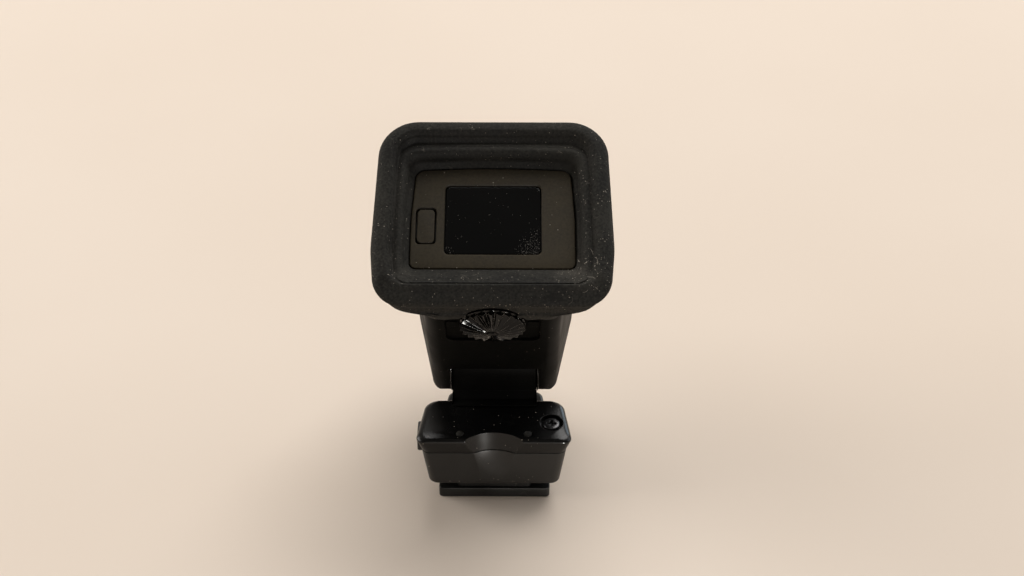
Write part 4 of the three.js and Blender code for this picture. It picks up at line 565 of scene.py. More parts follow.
def shader_group(inputs: str, outputs: str) -> Callable[[Callable], Callable]:
    """Turn a function into a shader node group that several finishes use, built once.

    The function gets the group's graph and a socket for each input, and returns a socket for
    each output. What takes its place adds the group to a graph, with a value or a socket for
    each input by name, and returns the node's outputs.

    Args:
        inputs: The inputs' names in order, with spaces between them.
        outputs: The outputs' names in the same way.

    Returns:
        The decorator.
    """

    def decorate(work: Callable) -> Callable:
        """Return the function that adds the group."""

        @cache
        def tree() -> bpy.types.NodeTree:
            """Return the group's tree, built at its first use."""
            made = bpy.data.node_groups.new(work.__name__, "ShaderNodeTree")
            for names, side in ((inputs, "INPUT"), (outputs, "OUTPUT")):
                for name in names.split():
                    kind = "NodeSocketVector" if name in VECTOR_SOCKETS else "NodeSocketFloat"
                    made.interface.new_socket(name, in_out=side, socket_type=kind)
            given = made.nodes.new("NodeGroupInput")
            result = made.nodes.new("NodeGroupOutput")
            graph = Graph(made)
            found = work(graph, *(given.outputs[name] for name in inputs.split()))
            for name, socket in zip(outputs.split(), found, strict=True):
                graph.set(result.inputs[name], socket)
            return made

        def add_to(graph: Graph, **values: object) -> bpy.types.NodeOutputs:
            """Add the group to a graph, and return its node's outputs."""
            node = graph.tree.nodes.new("ShaderNodeGroup")
            node.node_tree = tree()
            for name, value in values.items():
                graph.set(node.inputs[name], value)
            return node.outputs

        return add_to

    return decorate


@shader_group("Place Radius Wear", "Normal Mask")
def edge_rounding(graph: Graph, place: Socket, radius: Socket, wear: Socket) -> tuple:
    """Round sharp edges in the normal, and mask the edges, both for rubbed spots and for painted
    glints.

    The mask is one less the cosine between the rounded and the true normal, broken up
    by noise. On the dial it paints glints along the ridges; elsewhere it marks rubbed edges.
    """
    rounded = graph.add("Bevel", {"Radius": radius}, samples=6).outputs[0]
    true_normal = graph.add("NewGeometry").outputs["True Normal"]
    dot = graph.add("VectorMath", {0: rounded, 1: true_normal}, operation="DOT_PRODUCT")
    bent = graph.math("SUBTRACT", 1.0, dot.outputs["Value"])
    patches = graph.spread(graph.noise(place, 900.0, 4.0), (0.4, 0.62), (0.15, 2.2))
    worn_and_glint = graph.math("MULTIPLY", bent, patches)
    return rounded, graph.math("MULTIPLY", worn_and_glint, wear, clamp=True)


@shader_group("Place Scale", "Height Cloud Speckle")
def moulded_grain(graph: Graph, place: Socket, scale: Socket) -> tuple:
    """Give a moulded surface's fine and coarse texture as one height, and two colour noises."""
    fine = graph.noise(place, scale, 3.0)
    coarse = graph.noise(place, graph.math("MULTIPLY", scale, 0.31), 2.0)
    height = graph.math("ADD", graph.math("MULTIPLY", fine, 0.6), coarse)
    return height, graph.noise(place, 130.0, 3.0), graph.noise(place, 2700.0, 2.0)


@shader_group("Place Scale Amount Size Lint", "Mask Film")
def dust_specks(
    graph: Graph, place: Socket, scale: Socket, amount: Socket, size: Socket, lint: Socket
) -> tuple:
    """Mask specks of dust, the middles of some cells, and short curved fibres of lint.

    A speck shows where the distance to its cell's point is below a size that differs from
    cell to cell, and only where the cell's own random value passes the amount. A fibre is
    where a broad noise crosses its middle value, inside the peaks of a finer one.
    """
    cells = graph.add("TexVoronoi", {"Vector": place, "Scale": scale})
    own = graph.add("SeparateColor", {0: cells.outputs["Color"]}).outputs
    inside = graph.math(
        "SUBTRACT", graph.math("MULTIPLY", own[0], size), cells.outputs["Distance"]
    )
    speck = graph.spread(inside, (0.0, 0.06))
    limit = graph.math("MULTIPLY", amount, graph.noise(place, 95.0, 5.0))
    shown = graph.math("LESS_THAN", own[1], limit)
    bright = graph.spread(own[2], (0.0, 1.0), (0.25, 1.0))
    specks = graph.math("MULTIPLY", graph.math("MULTIPLY", speck, shown), bright)
    crossing = graph.math("SUBTRACT", graph.noise(place, 300.0, 1.0), 0.5)
    fibre = graph.spread(graph.math("ABSOLUTE", crossing), (0.001, 0.007), (1.0, 0.0))
    peaks = graph.spread(graph.noise(place, 820.0, 1.0), (0.58, 0.66))
    fibres = graph.math("MULTIPLY", graph.math("MULTIPLY", fibre, peaks), lint)
    near = graph.spread(limit, (0.15, 0.6))
    film = graph.spread(graph.noise(place, 60.0, 6.0), (0.48, 0.78))
    mask = graph.math("MULTIPLY_ADD", fibres, near, specks, clamp=True)
    return mask, graph.math("MULTIPLY", film, amount)


@shader_group("Place Centre Radius", "Mask")
def patch(graph: Graph, place: Socket, centre: Socket, radius: Socket) -> tuple:
    """Mask a round patch: one at its centre, falling to nothing at its radius."""
    apart = graph.add("VectorMath", {0: place, 1: centre}, operation="DISTANCE")
    share = graph.math("DIVIDE", apart.outputs["Value"], radius)
    return (graph.spread(share, (0.2, 1.0), (1.0, 0.0)),)


@shader_group("Place Amount", "Mask")
def hairlines(graph: Graph, place: Socket, amount: Socket) -> tuple:
    """Mask hairline scratches: thin bands of two stretched and bent waves."""
    lines = []
    for turn, scale in ((0.5, 160.0), (2.1, 230.0)):
        rotation = (turn / 3, turn / 2, turn)
        mapped = graph.add("Mapping", {"Vector": place, "Rotation": rotation}).outputs[0]
        values = {"Vector": mapped, "Scale": scale, "Distortion": 9.0}
        wave = graph.add("TexWave", values | {"Detail": 3.0, "Detail Scale": 0.35})
        lines.append(graph.spread(wave.outputs["Fac"], (0.992, 1.0)))
    patches = graph.spread(graph.noise(place, 240.0, 2.0), (0.52, 0.66))
    both = graph.math("MULTIPLY", graph.math("MAXIMUM", *lines), patches)
    return (graph.math("MULTIPLY", both, amount, clamp=True),)


def new_material(name: str) -> tuple[bpy.types.Material, Graph, Socket]:
    """Make an empty material, and return it with its graph and its object coordinates."""
    made = bpy.data.materials.new(name)
    made.use_nodes = True
    made.node_tree.nodes.clear()
    graph = Graph(made.node_tree)
    return made, graph, graph.add("TexCoord").outputs["Object"]


@dataclass(frozen=True)
class Spot:
    """A patch where more dust lies: its centre and radius in millimetres, and its amount."""

    centre: Triple
    radius: float
    amount: float


def dust_amount(
    graph: Graph, place: Socket, even: float, spots: Sequence[Spot]
) -> float | Socket:
    """Return the amount of dust: an even part, and more inside the spots.

    Args:
        graph: The material's graph.
        place: The object coordinates.
        even: The even part.
        spots: The patches of more dust.

    Returns:
        A plain number without spots, and else the socket that gives the amount.
    """
    total = even
    for spot in spots:
        centre = [c * METRES for c in spot.centre]
        mask = patch(graph, Place=place, Centre=centre, Radius=spot.radius * METRES)["Mask"]
        total = graph.math("MULTIPLY_ADD", mask, spot.amount, total)
    return total


@dataclass(frozen=True)
class Finish:
    """One finish: its colours, its gloss, its grain, the rubbed edges and dust on it, and any
    glint painted along its edges.
    """

    name: str
    slot: str
    colour: Colour
    shade: Colour
    roughness: Pair = (0.4, 0.55)
    metallic: float = 0.0
    specular: float = 0.5
    grain_scale: float = 7000.0
    grain_depth: float = 0.010
    grain_strength: float = 0.25
    edge_radius: float = 0.09
    # Amount and colour of the edge mask: rubbed edges on most finishes, a painted glint on the
    # dial, and both on the screws.
    wear: float = 0.5
    worn_and_glint: Colour = (92, 90, 84)
    dust: float = 0.3
    dust_scale: float = 2600.0
    dust_size: float = 0.25
    lint: float = 0.0
    dusty: Colour = (168, 160, 148)
    film: float = 0.06
    scratches: float = 0.0
    spots: tuple[Spot, ...] = ()

    @cache
    def material(self) -> bpy.types.Material:
        """Return this finish's material, made at its first use."""
        made, graph, place = new_material(self.name)
        grain = moulded_grain(graph, Place=place, Scale=self.grain_scale)
        radius = self.edge_radius * METRES
        edge = edge_rounding(graph, Place=place, Radius=radius, Wear=self.wear)
        dust = dust_specks(
            graph,
            Place=place,
            Scale=self.dust_scale,
            Amount=dust_amount(graph, place, self.dust, self.spots),
            Size=self.dust_size,
            Lint=self.lint,
        )
        both = graph.math("ADD", grain["Cloud"], grain["Speckle"])
        clouds = graph.spread(both, (0.78, 1.22))
        colour = graph.blend(clouds, linear(*self.shade), linear(*self.colour))
        # The edge mask lays its colour on: rubbed edges on most finishes, a painted glint on the
        # dial, and both on the screws.
        colour = graph.blend(edge["Mask"], colour, linear(*self.worn_and_glint))
        rough = graph.spread(grain["Cloud"], (0.35, 0.65), self.roughness)
        if self.scratches:
            lines = hairlines(graph, Place=place, Amount=self.scratches)
            colour = graph.blend(lines["Mask"], colour, linear(*self.worn_and_glint))
        film = graph.math("MULTIPLY", dust["Film"], self.film)
        cover = graph.math("MAXIMUM", film, dust["Mask"])
        rough = graph.math("ADD", rough, graph.math("MULTIPLY", cover, 0.4), clamp=True)
        bump = {
            "Height": grain["Height"],
            "Normal": edge["Normal"],
            "Strength": self.grain_strength,
            "Distance": self.grain_depth * METRES,
        }
        shader = {
            "Base Color": graph.blend(cover, colour, linear(*self.dusty)),
            "Roughness": rough,
            "Metallic": self.metallic,
            "Specular IOR Level": self.specular,
            "Normal": graph.add("Bump", bump).outputs[0],
        }
        surface = graph.add("BsdfPrincipled", shader).outputs[0]
        graph.add("OutputMaterial", {"Surface": surface})
        return made


@dataclass(frozen=True)
class Glass:
    """Clear or tinted glass with a thin coating, and with dust but no fibres on it."""

    name: str
    slot: str
    tint: Colour
    transmission: float
    film_nm: float
    roughness: float = 0.02
    ior: float = 1.5
    film_ior: float = 1.38
    dust: float = 0.0
    dust_scale: float = 8200.0
    dust_size: float = 0.45
    dusty: Colour = (185, 180, 170)
    spots: tuple[Spot, ...] = ()

    @cache
    def material(self) -> bpy.types.Material:
        """Return this glass's material, made at its first use."""
        made, graph, place = new_material(self.name)
        amount = dust_amount(graph, place, self.dust, self.spots)
        values = {"Place": place, "Scale": self.dust_scale, "Amount": amount}
        specks = dust_specks(graph, **values, Size=self.dust_size)["Mask"]
        smeared = (self.roughness, self.roughness * 4)
        smears = graph.spread(graph.noise(place, 210.0, 4.0), (0.45, 0.75), smeared)
        shader = {
            "Base Color": graph.blend(specks, linear(*self.tint), linear(*self.dusty)),
            "Roughness": graph.math("ADD", smears, specks, clamp=True),
            "IOR": self.ior,
            "Transmission Weight": self.transmission,
            "Thin Film Thickness": self.film_nm,
            "Thin Film IOR": self.film_ior,
        }
        surface = graph.add("BsdfPrincipled", shader).outputs[0]
        graph.add("OutputMaterial", {"Surface": surface})
        return made


RUBBER = Finish(
    "eyecup_rubber", "rubber", (49, 48, 44), (22, 21, 19), roughness=(0.68, 0.82),
    specular=0.12, grain_scale=4600.0, grain_depth=0.04, grain_strength=0.75,
    edge_radius=0.12, wear=0.35, worn_and_glint=(88, 84, 76), dust=0.4, dust_scale=3300.0,
    dust_size=0.3, lint=0.9, film=0.05,
    spots=(
        Spot((13.4, -7.4, 45.8), 4.8, 4.4),
        Spot((-13.4, -7.8, 44.8), 2.8, 1.6),
        Spot((17.2, 3.2, 51.0), 4.5, 0.7),
        Spot((17.4, -4.0, 47.5), 3.5, 0.7),
        Spot((0.0, -9.4, 45.2), 9.0, 0.25),
    ),
)
PANEL = Finish(
    "bezel_brown", "panel_brown", (57, 50, 35), (44, 38, 26), roughness=(0.55, 0.68),
    specular=0.2, grain_scale=7600.0, grain_depth=0.012, grain_strength=0.4,
    edge_radius=0.08, wear=0.25, dust=0.2, film=0.05,
)
TUBE_BLACK = Finish(
    "tube_satin", "tube_black", (17, 17, 16), (12, 12, 11), roughness=(0.42, 0.54),
    specular=0.022, grain_strength=0.35, wear=0.5, worn_and_glint=(78, 76, 70), dust=0.12,
)
CASE_BLACK = Finish(
    "case_satin", "case_black", (18, 17, 14), (12, 12, 11), roughness=(0.27, 0.36),
    specular=0.45, grain_strength=0.3, wear=0.6, dust=0.22,
)
COVER_BLACK = Finish(
    "cover_gloss", "cover_black", (12, 12, 12), (9, 9, 9), roughness=(0.18, 0.3),
    specular=0.32, grain_strength=0.12, wear=0.9, dust=0.22, scratches=0.1, film=0.04,
)
FOOT_BLACK = Finish(
    "foot_satin", "foot_black", (20, 20, 18), (15, 15, 14), roughness=(0.32, 0.45),
    specular=0.35, grain_strength=0.3, wear=1.1, worn_and_glint=(110, 108, 100), dust=0.2,
    scratches=0.4,
)
# The dial's light edge colour is a painted glint along the rib edges, standing in for highlights
# from the lamps.
DIAL_BLACK = Finish(
    "dial_gloss", "dial_black", (8, 8, 8), (5, 5, 5), roughness=(0.1, 0.18),
    specular=0.2, grain_strength=0.06, edge_radius=0.07, wear=2.6, worn_and_glint=(160, 158, 152),
    dust=0.3,
)
INNER_BLACK = Finish(
    "chassis_matt", "inner_black", (34, 34, 34), (26, 26, 27), roughness=(0.5, 0.62),
    wear=0.2, dust=0.05,
)
STEEL = Finish(
    "bright_steel", "steel", (172, 171, 168), (150, 149, 147), roughness=(0.26, 0.4),
    metallic=1.0, grain_scale=5200.0, grain_strength=0.2, wear=0.2, worn_and_glint=(205, 204, 200),
    dust=0.02, scratches=0.25,
)
# The light edge colour is partly rubbed steel and partly a painted glint on the head's rim; the
# oxide discs copy it.
BLACK_SCREW = Finish(
    "blackened_screw", "black_screw", (84, 84, 85), (60, 60, 61), roughness=(0.2, 0.34),
    metallic=0.85, grain_strength=0.15, wear=0.8, worn_and_glint=(150, 148, 142), dust=0.3,
)
OXIDE = replace(BLACK_SCREW, name="oxide_steel", slot="steel", colour=(30, 30, 30))
GOLD = Finish(
    "contact_plating", "contact_gold", (214, 176, 96), (196, 154, 74), roughness=(0.18, 0.3),
    metallic=1.0, grain_strength=0.1, wear=0.1, worn_and_glint=(232, 204, 140), dust=0.02,
)
BOARD = Finish(
    "board_mask", "board_green", (32, 76, 54), (24, 58, 42), roughness=(0.34, 0.46),
    grain_strength=0.2, wear=0.15, dust=0.02,
)
CHIP = Finish(
    "chip_resin", "chip_black", (26, 26, 28), (19, 19, 21), roughness=(0.4, 0.5),
    wear=0.2, dust=0.02,
)
RIBBON = Finish(
    "ribbon_film", "ribbon_amber", (160, 94, 36), (136, 76, 28), roughness=(0.28, 0.4),
    grain_strength=0.1, wear=0.1, dust=0.02,
)
DISPLAY = Finish(
    "display_cell", "display_black", (14, 16, 24), (10, 12, 18), roughness=(0.06, 0.12),
    grain_strength=0.03, wear=0.0, dust=0.0,
)
COVER_GLASS = Glass(
    "window_coated", "cover_glass", (9, 11, 12), 0.35, 0.0, dust=0.03, ior=1.3,
    spots=(
        Spot((8.2, -3.4, 46.0), 5.2, 3.4),
        Spot((-7.4, -3.2, 46.0), 1.8, 2.6),
        Spot((8.2, 1.4, 48.4), 2.0, 1.0),
    ),
)
LENS_GLASS = Glass("lens_coated", "lens_glass", (236, 242, 244), 1.0, 290.0)


def piece(
    name: str,
    made: bpy.types.Object | Skin,
    finish: Finish | Glass,
    body: Body,
    node: str,
    sharp_deg: float = 32.0,
    in_tube: bool = False,
) -> bpy.types.Object:
    """Finish a piece: its place, shading and material, its body and the node it stands for.

    Args:
        name: The piece's name.
        made: Its skin, or its object with the mesh in it.
        finish: What it is finished in.
        body: The body that it rides on.
        node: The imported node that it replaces.
        sharp_deg: The angle above which an edge stays sharp.
        in_tube: Whether it is still in the tube's own axes.

    Returns:
        The object.
    """
    if isinstance(made, Skin):
        made = object_of(name, made)
    if in_tube:
        turn_with_tube(made)
    made.name = name
    made.data.name = name
    smooth(made, sharp_deg)
    made.data.materials.clear()
    made.data.materials.append(finish.material())
    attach(made, body.value)
    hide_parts(node)
    LOG.info("%s: %d faces on %s", name, len(made.data.polygons), body.value)
    return made


# The tube


@dataclass(frozen=True)
class Housing:
    """The tube's shell in three mouldings, with the slot for the arm in its underside."""

    length: float = 31.8
    section: Section = Section(0.0, 14.0, 27.5, 10.2, 13.4, 13.0, 2.4, 1.15, 6.0)
    wall: float = 1.2
    front_round: float = 0.9
    cheek_round: float = 1.9
    front_cover_low: float = 9.9
    front_cover_thickness: float = 1.3
    slot_half: float = 7.4
    slot_length: float = 10.8
    slot_height: float = 9.2
    slot_wall: float = 0.5
    slot_roof: float = 1.5
    dial_s: float = 29.5
    recess_half: float = 7.4
    recess_start: float = 22.8
    recess_depth: float = 0.55
    recess_corner: float = 1.6
    dial_bore: float = 1.5
    dial_bore_top: float = 2.7
    mark_x: Pair = (5.4, 7.1)
    mark_s: Pair = (27.6, 29.4)
    mark_height: float = 0.25
    pivot_recess: float = 2.05
    pivot_reach: float = 9.7
    edge_round: float = 0.35
    rings_along: int = 12

    def envelope(self) -> Skin:
        """Return the outside: the section along s, drawn in at the front by a quarter round."""
        edge = zip(*quarter_round(self.front_round))
        rings = [self.section.inset(by).ring(s) for by, s in edge]
        along = np.linspace(self.front_round, self.length, self.rings_along)[1:]
        return loft(rings + [self.section.ring(s) for s in along])

    def hollow(self) -> Skin:
        """Return the space inside the walls."""
        inner = self.section.inset(self.wall)
        return loft([inner.ring(self.front_cover_thickness), inner.ring(self.length + OVERRUN)])

    def slot_solids(self) -> list[tuple[Cut, Skin]]:
        """Return the slot's walls and then the slot itself."""
        back, top = self.slot_length + self.wall, self.slot_height + self.slot_roof
        walls = tube_block(
            self.slot_half + self.slot_wall, (self.edge_round, back), (self.edge_round, top)
        )
        heights = (-OVERRUN, self.slot_height)
        outline = rounded_rectangle(self.slot_half, heights, self.edge_round)
        slot = loft([across_tube(outline, s) for s in (-OVERRUN, self.slot_length)])
        return Cut.JOIN.by(walls) + Cut.AWAY.by(slot)

    def cheek_cutter(self) -> Skin:
        """Return what rounds the cheeks' front lower corners: a square less a quarter disc."""
        angle = np.linspace(0, np.pi / 2, 2 * ROUND_STEPS)
        arc = self.cheek_round * np.column_stack([np.cos(angle) - 1, 1 - np.sin(angle)])
        corners = [[OVERRUN, -OVERRUN], [OVERRUN, self.cheek_round]]
        outline = np.concatenate([corners, arc, [[-self.cheek_round, -OVERRUN]]])
        return loft([sideways(outline, x) for x in ends(self.section.knee_half)])

    def shell(self, part: list[tuple[Cut, Skin]]) -> bpy.types.Object:
        """Build the whole shell in the tube's axes and keep one part of it.

        Args:
            part: What to keep of the shell and cut from it.

        Returns:
            The object, still in the tube's own axes.
        """
        at = (-TUBE.front_to_pivot, TUBE.underside_to_pivot)
        pivot = rod(Axis.X, self.pivot_recess, self.pivot_reach, at)
        steps = Cut.AWAY.by(self.hollow()) + self.slot_solids()
        steps += Cut.AWAY.by(pivot, self.cheek_cutter())
        return carve(object_of("shell", self.envelope()), steps + part)

    def front_space(self, gap: float) -> Skin:
        """Return the block that the front cover fills, with a gap round it."""
        return tube_block(
            self.section.knee_half + OVERRUN,
            (-OVERRUN, self.front_cover_thickness + gap),
            (self.front_cover_low + SEAT_GAP - gap, self.section.top + OVERRUN),
        )

    def build(self) -> None:
        """Build the three mouldings."""
        wide = self.section.knee_half + OVERRUN
        knee, top = self.section.knee, self.section.top + OVERRUN
        along = (-OVERRUN, FAR_END)
        back = (-self.length - OVERRUN * 4, -self.recess_start)
        outline = rounded_rectangle(self.recess_half, back, self.recess_corner)
        recess = loft([upright(outline, t) for t in (-OVERRUN, self.recess_depth)])
        bore = rod(Axis.Z, self.dial_bore, (-OVERRUN, self.dial_bore_top), (0, -self.dial_s))
        heights = (self.recess_depth - self.mark_height, self.recess_depth + SEAT_GAP)
        marks = [
            tube_block(sorted(sign * x for x in self.mark_x), self.mark_s, heights)
            for _, sign in SIDES
        ]
        front = self.front_space(SEAT_GAP)
        lower = Cut.KEEP.by(tube_block(wide, along, (-OVERRUN, knee)))
        upper = Cut.KEEP.by(tube_block(wide, along, (knee + SEAT_GAP, top)))
        for name, part in (
            ("housing_lower", lower + Cut.AWAY.by(front, recess, bore) + Cut.JOIN.by(*marks)),
            ("housing_upper", upper + Cut.AWAY.by(front)),
            ("front_cover", Cut.KEEP.by(self.front_space(0.0))),
        ):
            made = self.shell(part)
            piece(name + "_moulding", made, TUBE_BLACK, Body.FINDER, name, in_tube=True)


def turn_with_tube(made: bpy.types.Object) -> None:
    """Turn a finished mesh from the tube's axes to the part's."""
    mesh = made.data
    moved = TUBE.place(Skin(mesh_points(mesh), []))
    mesh.vertices.foreach_set("co", (moved.points * METRES).astype(np.float32).ravel())
    mesh.update()


@dataclass(frozen=True)
class Eyepiece:
    """The panel round the window, the cover glass and the eye sensor's window."""

    face: float = 34.6
    thickness: float = 1.0
    section: Section = Section(
        6.85, 15.4, 24.3, 12.65, 12.65, 12.05, 1.0, 1.35, 1.5, arch=0.42
    )
    window_half: float = 7.5
    window_t: Pair = (9.3, 21.3)
    window_corner: float = 0.8
    glass_thickness: float = 0.9
    glass_recess: float = 0.25
    sensor_x: float = -10.35
    sensor_half: float = 1.6
    sensor_t: Pair = (11.0, 17.3)
    sensor_corner: float = 0.7
    sensor_gap: float = 0.27
    sensor_recess: float = 0.06
    sensor_edge: float = 0.1
    edge: float = 0.2
    chamfer: float = 0.14

    def window(self, by: float) -> np.ndarray:
        """Return the window's outline in x and t, drawn in by a distance."""
        heights = widened(self.window_t, -by)
        return rounded_rectangle(self.window_half - by, heights, self.window_corner)

    def sensor(self, by: float) -> np.ndarray:
        """Return the sensor window's outline in x and t, drawn in by a distance."""
        across = widened((self.sensor_x, self.sensor_x), self.sensor_half - by)
        return rounded_rectangle(across, widened(self.sensor_t, -by), self.sensor_corner)

    def slab(
        self, outline: Callable[[float], np.ndarray], back: float, face: float, edge: float
    ) -> Skin:
        """Return a plate between two places on s, its front edge rounded by a quarter round.

        Args:
            outline: A function that gives the outline drawn in by a distance.
            back: Where the plate starts.
            face: Where it ends.
            edge: The radius of its front edge.

        Returns:
            The plate.
        """
        sunk, by = quarter_round(edge)
        rings = [across_tube(outline(b), s) for b, s in zip(by, face - sunk)]
        return loft([across_tube(outline(0.0), back), *rings])

    def opening(self, outline: Callable[[float], np.ndarray], chamfer: float) -> Skin:
        """Return a cutter for an opening whose front edge flares outwards."""
        places = (
            (0.0, self.face - self.thickness - OVERRUN),
            (0.0, self.face - chamfer),
            (-chamfer, self.face),
            (-chamfer, self.face + OVERRUN),
        )
        return loft([across_tube(outline(by), s) for by, s in places])

    def build(self) -> None:
        """Build the panel, the glass and the sensor's window."""
        back = self.face - self.thickness
        plate = self.slab(lambda by: self.section.inset(by).outline(), back, self.face, self.edge)
        window = self.opening(self.window, self.chamfer)
        sensor_window = self.opening(self.sensor, self.chamfer / 2)
        panel = carve(object_of("panel", plate), Cut.AWAY.by(window, sensor_window))
        front = self.face - self.glass_recess
        glass = self.slab(
            lambda by: self.window(by + SEAT_GAP),
            front - self.glass_thickness,
            front,
            self.chamfer,
        )
        sensor = self.slab(
            lambda by: self.sensor(by + self.sensor_gap),
            back,
            self.face - self.sensor_recess,
            self.sensor_edge,
        )
        for name, made, finish, node in (
            ("bezel", panel, PANEL, "eye_panel"),
            ("window_glass", glass, COVER_GLASS, "cover_glass"),
            ("sensor_cover", sensor, PANEL, "sensor_window"),
        ):
            piece(name, made, finish, Body.FINDER, node, in_tube=True)


class Stop(NamedTuple):
    """A control ring of the rubber: how far it is drawn in, its s, and its relief.

    low_lift moves the lowest stretch towards the eye, and side_drop the rest away from it.
    """

    inset: float
    s: float
    low_lift: float = 0.0
    side_drop: float = 0.0


@dataclass(frozen=True)
class Eyecup:
    """The rubber: a skirt that flares from the tube, a soft rim, and a dish down to the panel."""

    housing: Housing = Housing()
    eyepiece: Eyepiece = Eyepiece()
    section: Section = Section(-0.3, 9.0, 31.45, 17.65, 18.5, 17.75, 4.8, 1.35, 6.2)
    step: Section = Section(3.3, 15.4, 26.9, 15.0, 15.0, 14.7, 3.4, 1.35, 3.4, arch=0.3)
    flange: Stop = Stop(-0.35, 32.25)
    flare: Stop = Stop(2.2, 34.0)
    flare_low: float = 0.0
    side: tuple[Stop, ...] = (Stop(0.3, 35.7), Stop(0.0, 36.55, -0.2), Stop(0.3, 37.3, -0.4))
    crown: Stop = Stop(1.6, 38.06, -0.45)
    crown_low: float = 1.75
    rim: Stop = Stop(2.2, 38.1, -0.4)
    lip: Stop = Stop(2.6, 37.85)
    crease: tuple[Stop, ...] = (
        Stop(2.85, 37.6, 0.32), Stop(3.05, 37.15, 0.72), Stop(3.22, 36.96, 0.8),
    )
    crease_end: tuple[Stop, ...] = (Stop(-0.2, 36.94, 0.66), Stop(-0.02, 37.04, 0.41))
    terrace: tuple[Stop, ...] = (
        Stop(-0.02, 36.99, 0.46), Stop(0.25, 37.1, 0.18), Stop(0.65, 37.18, -0.08),
        Stop(1.1, 37.0, -0.1), Stop(1.55, 36.32),
    )
    valley: tuple[Stop, ...] = (
        Stop(-0.8, 35.3, 0.0, 0.25), Stop(-0.35, 34.9, 0.0, 0.3),
        Stop(-0.05, 34.7, 0.0, 0.4), Stop(0.0, 34.5, 0.0, 0.3),
    )
    flange_back: float = 31.95
    flange_face: float = 33.25
    seam_wave: float = 0.5
    seam_wave_top: float = 2.0
    seam_lap: float = 0.2
    seam_stand: Pair = (0.05, 0.2)
    arch_radius: float = 5.55
    arch_top: float = 0.85
    bottom: Pair = (0.4, 2.6)

    def seam(self, stand: float) -> np.ndarray:
        """Return the skirt's edge, which laps a little over the tube and wanders below.

        The lap grows by seam_wave times a sum of two sines of x, on the underside only.

        Args:
            stand: How far the ring stands off the tube.

        Returns:
            The ring.
        """
        ring = self.housing.section.inset(-stand).ring(self.flange_back)
        x = ring[:, 0]
        low = np.clip(1 - ring[:, 2] / self.seam_wave_top, 0, 1)
        wave = np.sin(x * 1.5 + 0.6) * 0.6 + np.sin(x * 3.3 + 1.0) * 0.4
        ring[:, 1] += self.seam_lap + self.seam_wave * low * (0.5 + 0.5 * wave)
        return ring

    def ring(self, section: Section, stop: Stop, low: float | None = None) -> np.ndarray:
        """Return a control ring, with its own relief in its lowest stretch and elsewhere.

        The share of the lowest stretch falls smoothly from one to nothing over the span in
        bottom, in heights above the ring's lowest point.

        Args:
            section: The section that the ring is drawn in from.
            stop: How far it is drawn in, its s and its relief.
            low: The height of its lowest edge, where that isn't the drawn-in section's.

        Returns:
            The ring.
        """
        section = section.inset(stop.inset)
        if low is not None:
            section = replace(section, low=low)
        ring = section.ring(stop.s)
        height = ring[:, 2] - ring[:, 2].min()
        share = np.clip((self.bottom[1] - height) / np.ptp(self.bottom), 0, 1)
        share = share * share * (3 - 2 * share)
        move = stop.low_lift * share - stop.side_drop * (1 - share)
        return ring - move[:, None] * [0, 1, 0]

    def skin(self) -> Skin:
        """Return the rubber's closed skin: outer flare, rim, crease, dish and flange pocket."""
        tube, section, step = self.housing.section, self.section, self.step
        mouth = self.eyepiece.section.inset(-SEAT_GAP)
        outside = [
            self.seam(self.seam_stand[1]),
            self.ring(tube, self.flange),
            self.ring(section, self.flare, self.flare_low),
            *(self.ring(section, stop) for stop in self.side),
            self.ring(section, self.crown, self.crown_low),
            self.ring(section, self.rim),
            self.ring(section, self.lip),
        ]
        crease = [self.ring(section, stop) for stop in (self.lip, *self.crease)]
        crease += [self.ring(step, stop) for stop in self.crease_end]
        dish = [self.ring(step, stop) for stop in self.terrace]
        dish += [self.ring(mouth, stop) for stop in self.valley]
        pocket = tube.inset(self.housing.wall - SEAT_GAP)
        inside = [
            mouth.ring(self.flange_face + SEAT_GAP),
            pocket.ring(self.flange_face + SEAT_GAP),
            pocket.ring(self.flange_back),
            tube.inset(-self.seam_stand[0]).ring(self.flange_back),
            self.seam(self.seam_stand[0]),
        ]
        rings = eased_rings(outside, 7) + eased_rings(crease, 5)[1:] + eased_rings(dish, 6)[1:]
        return loft(rings + inside, loop=True)

    def build(self) -> None:
        """Build the rubber and arch its skirt over the dial."""
        heights = (-2 * OVERRUN, self.arch_top)
        arch = rod(Axis.Z, self.arch_radius, heights, (0, -self.housing.dial_s))
        made = carve(object_of("cup", self.skin()), Cut.AWAY.by(arch))
        piece("eyecup_rubber", made, RUBBER, Body.FINDER, "eyecup", 50.0, in_tube=True)


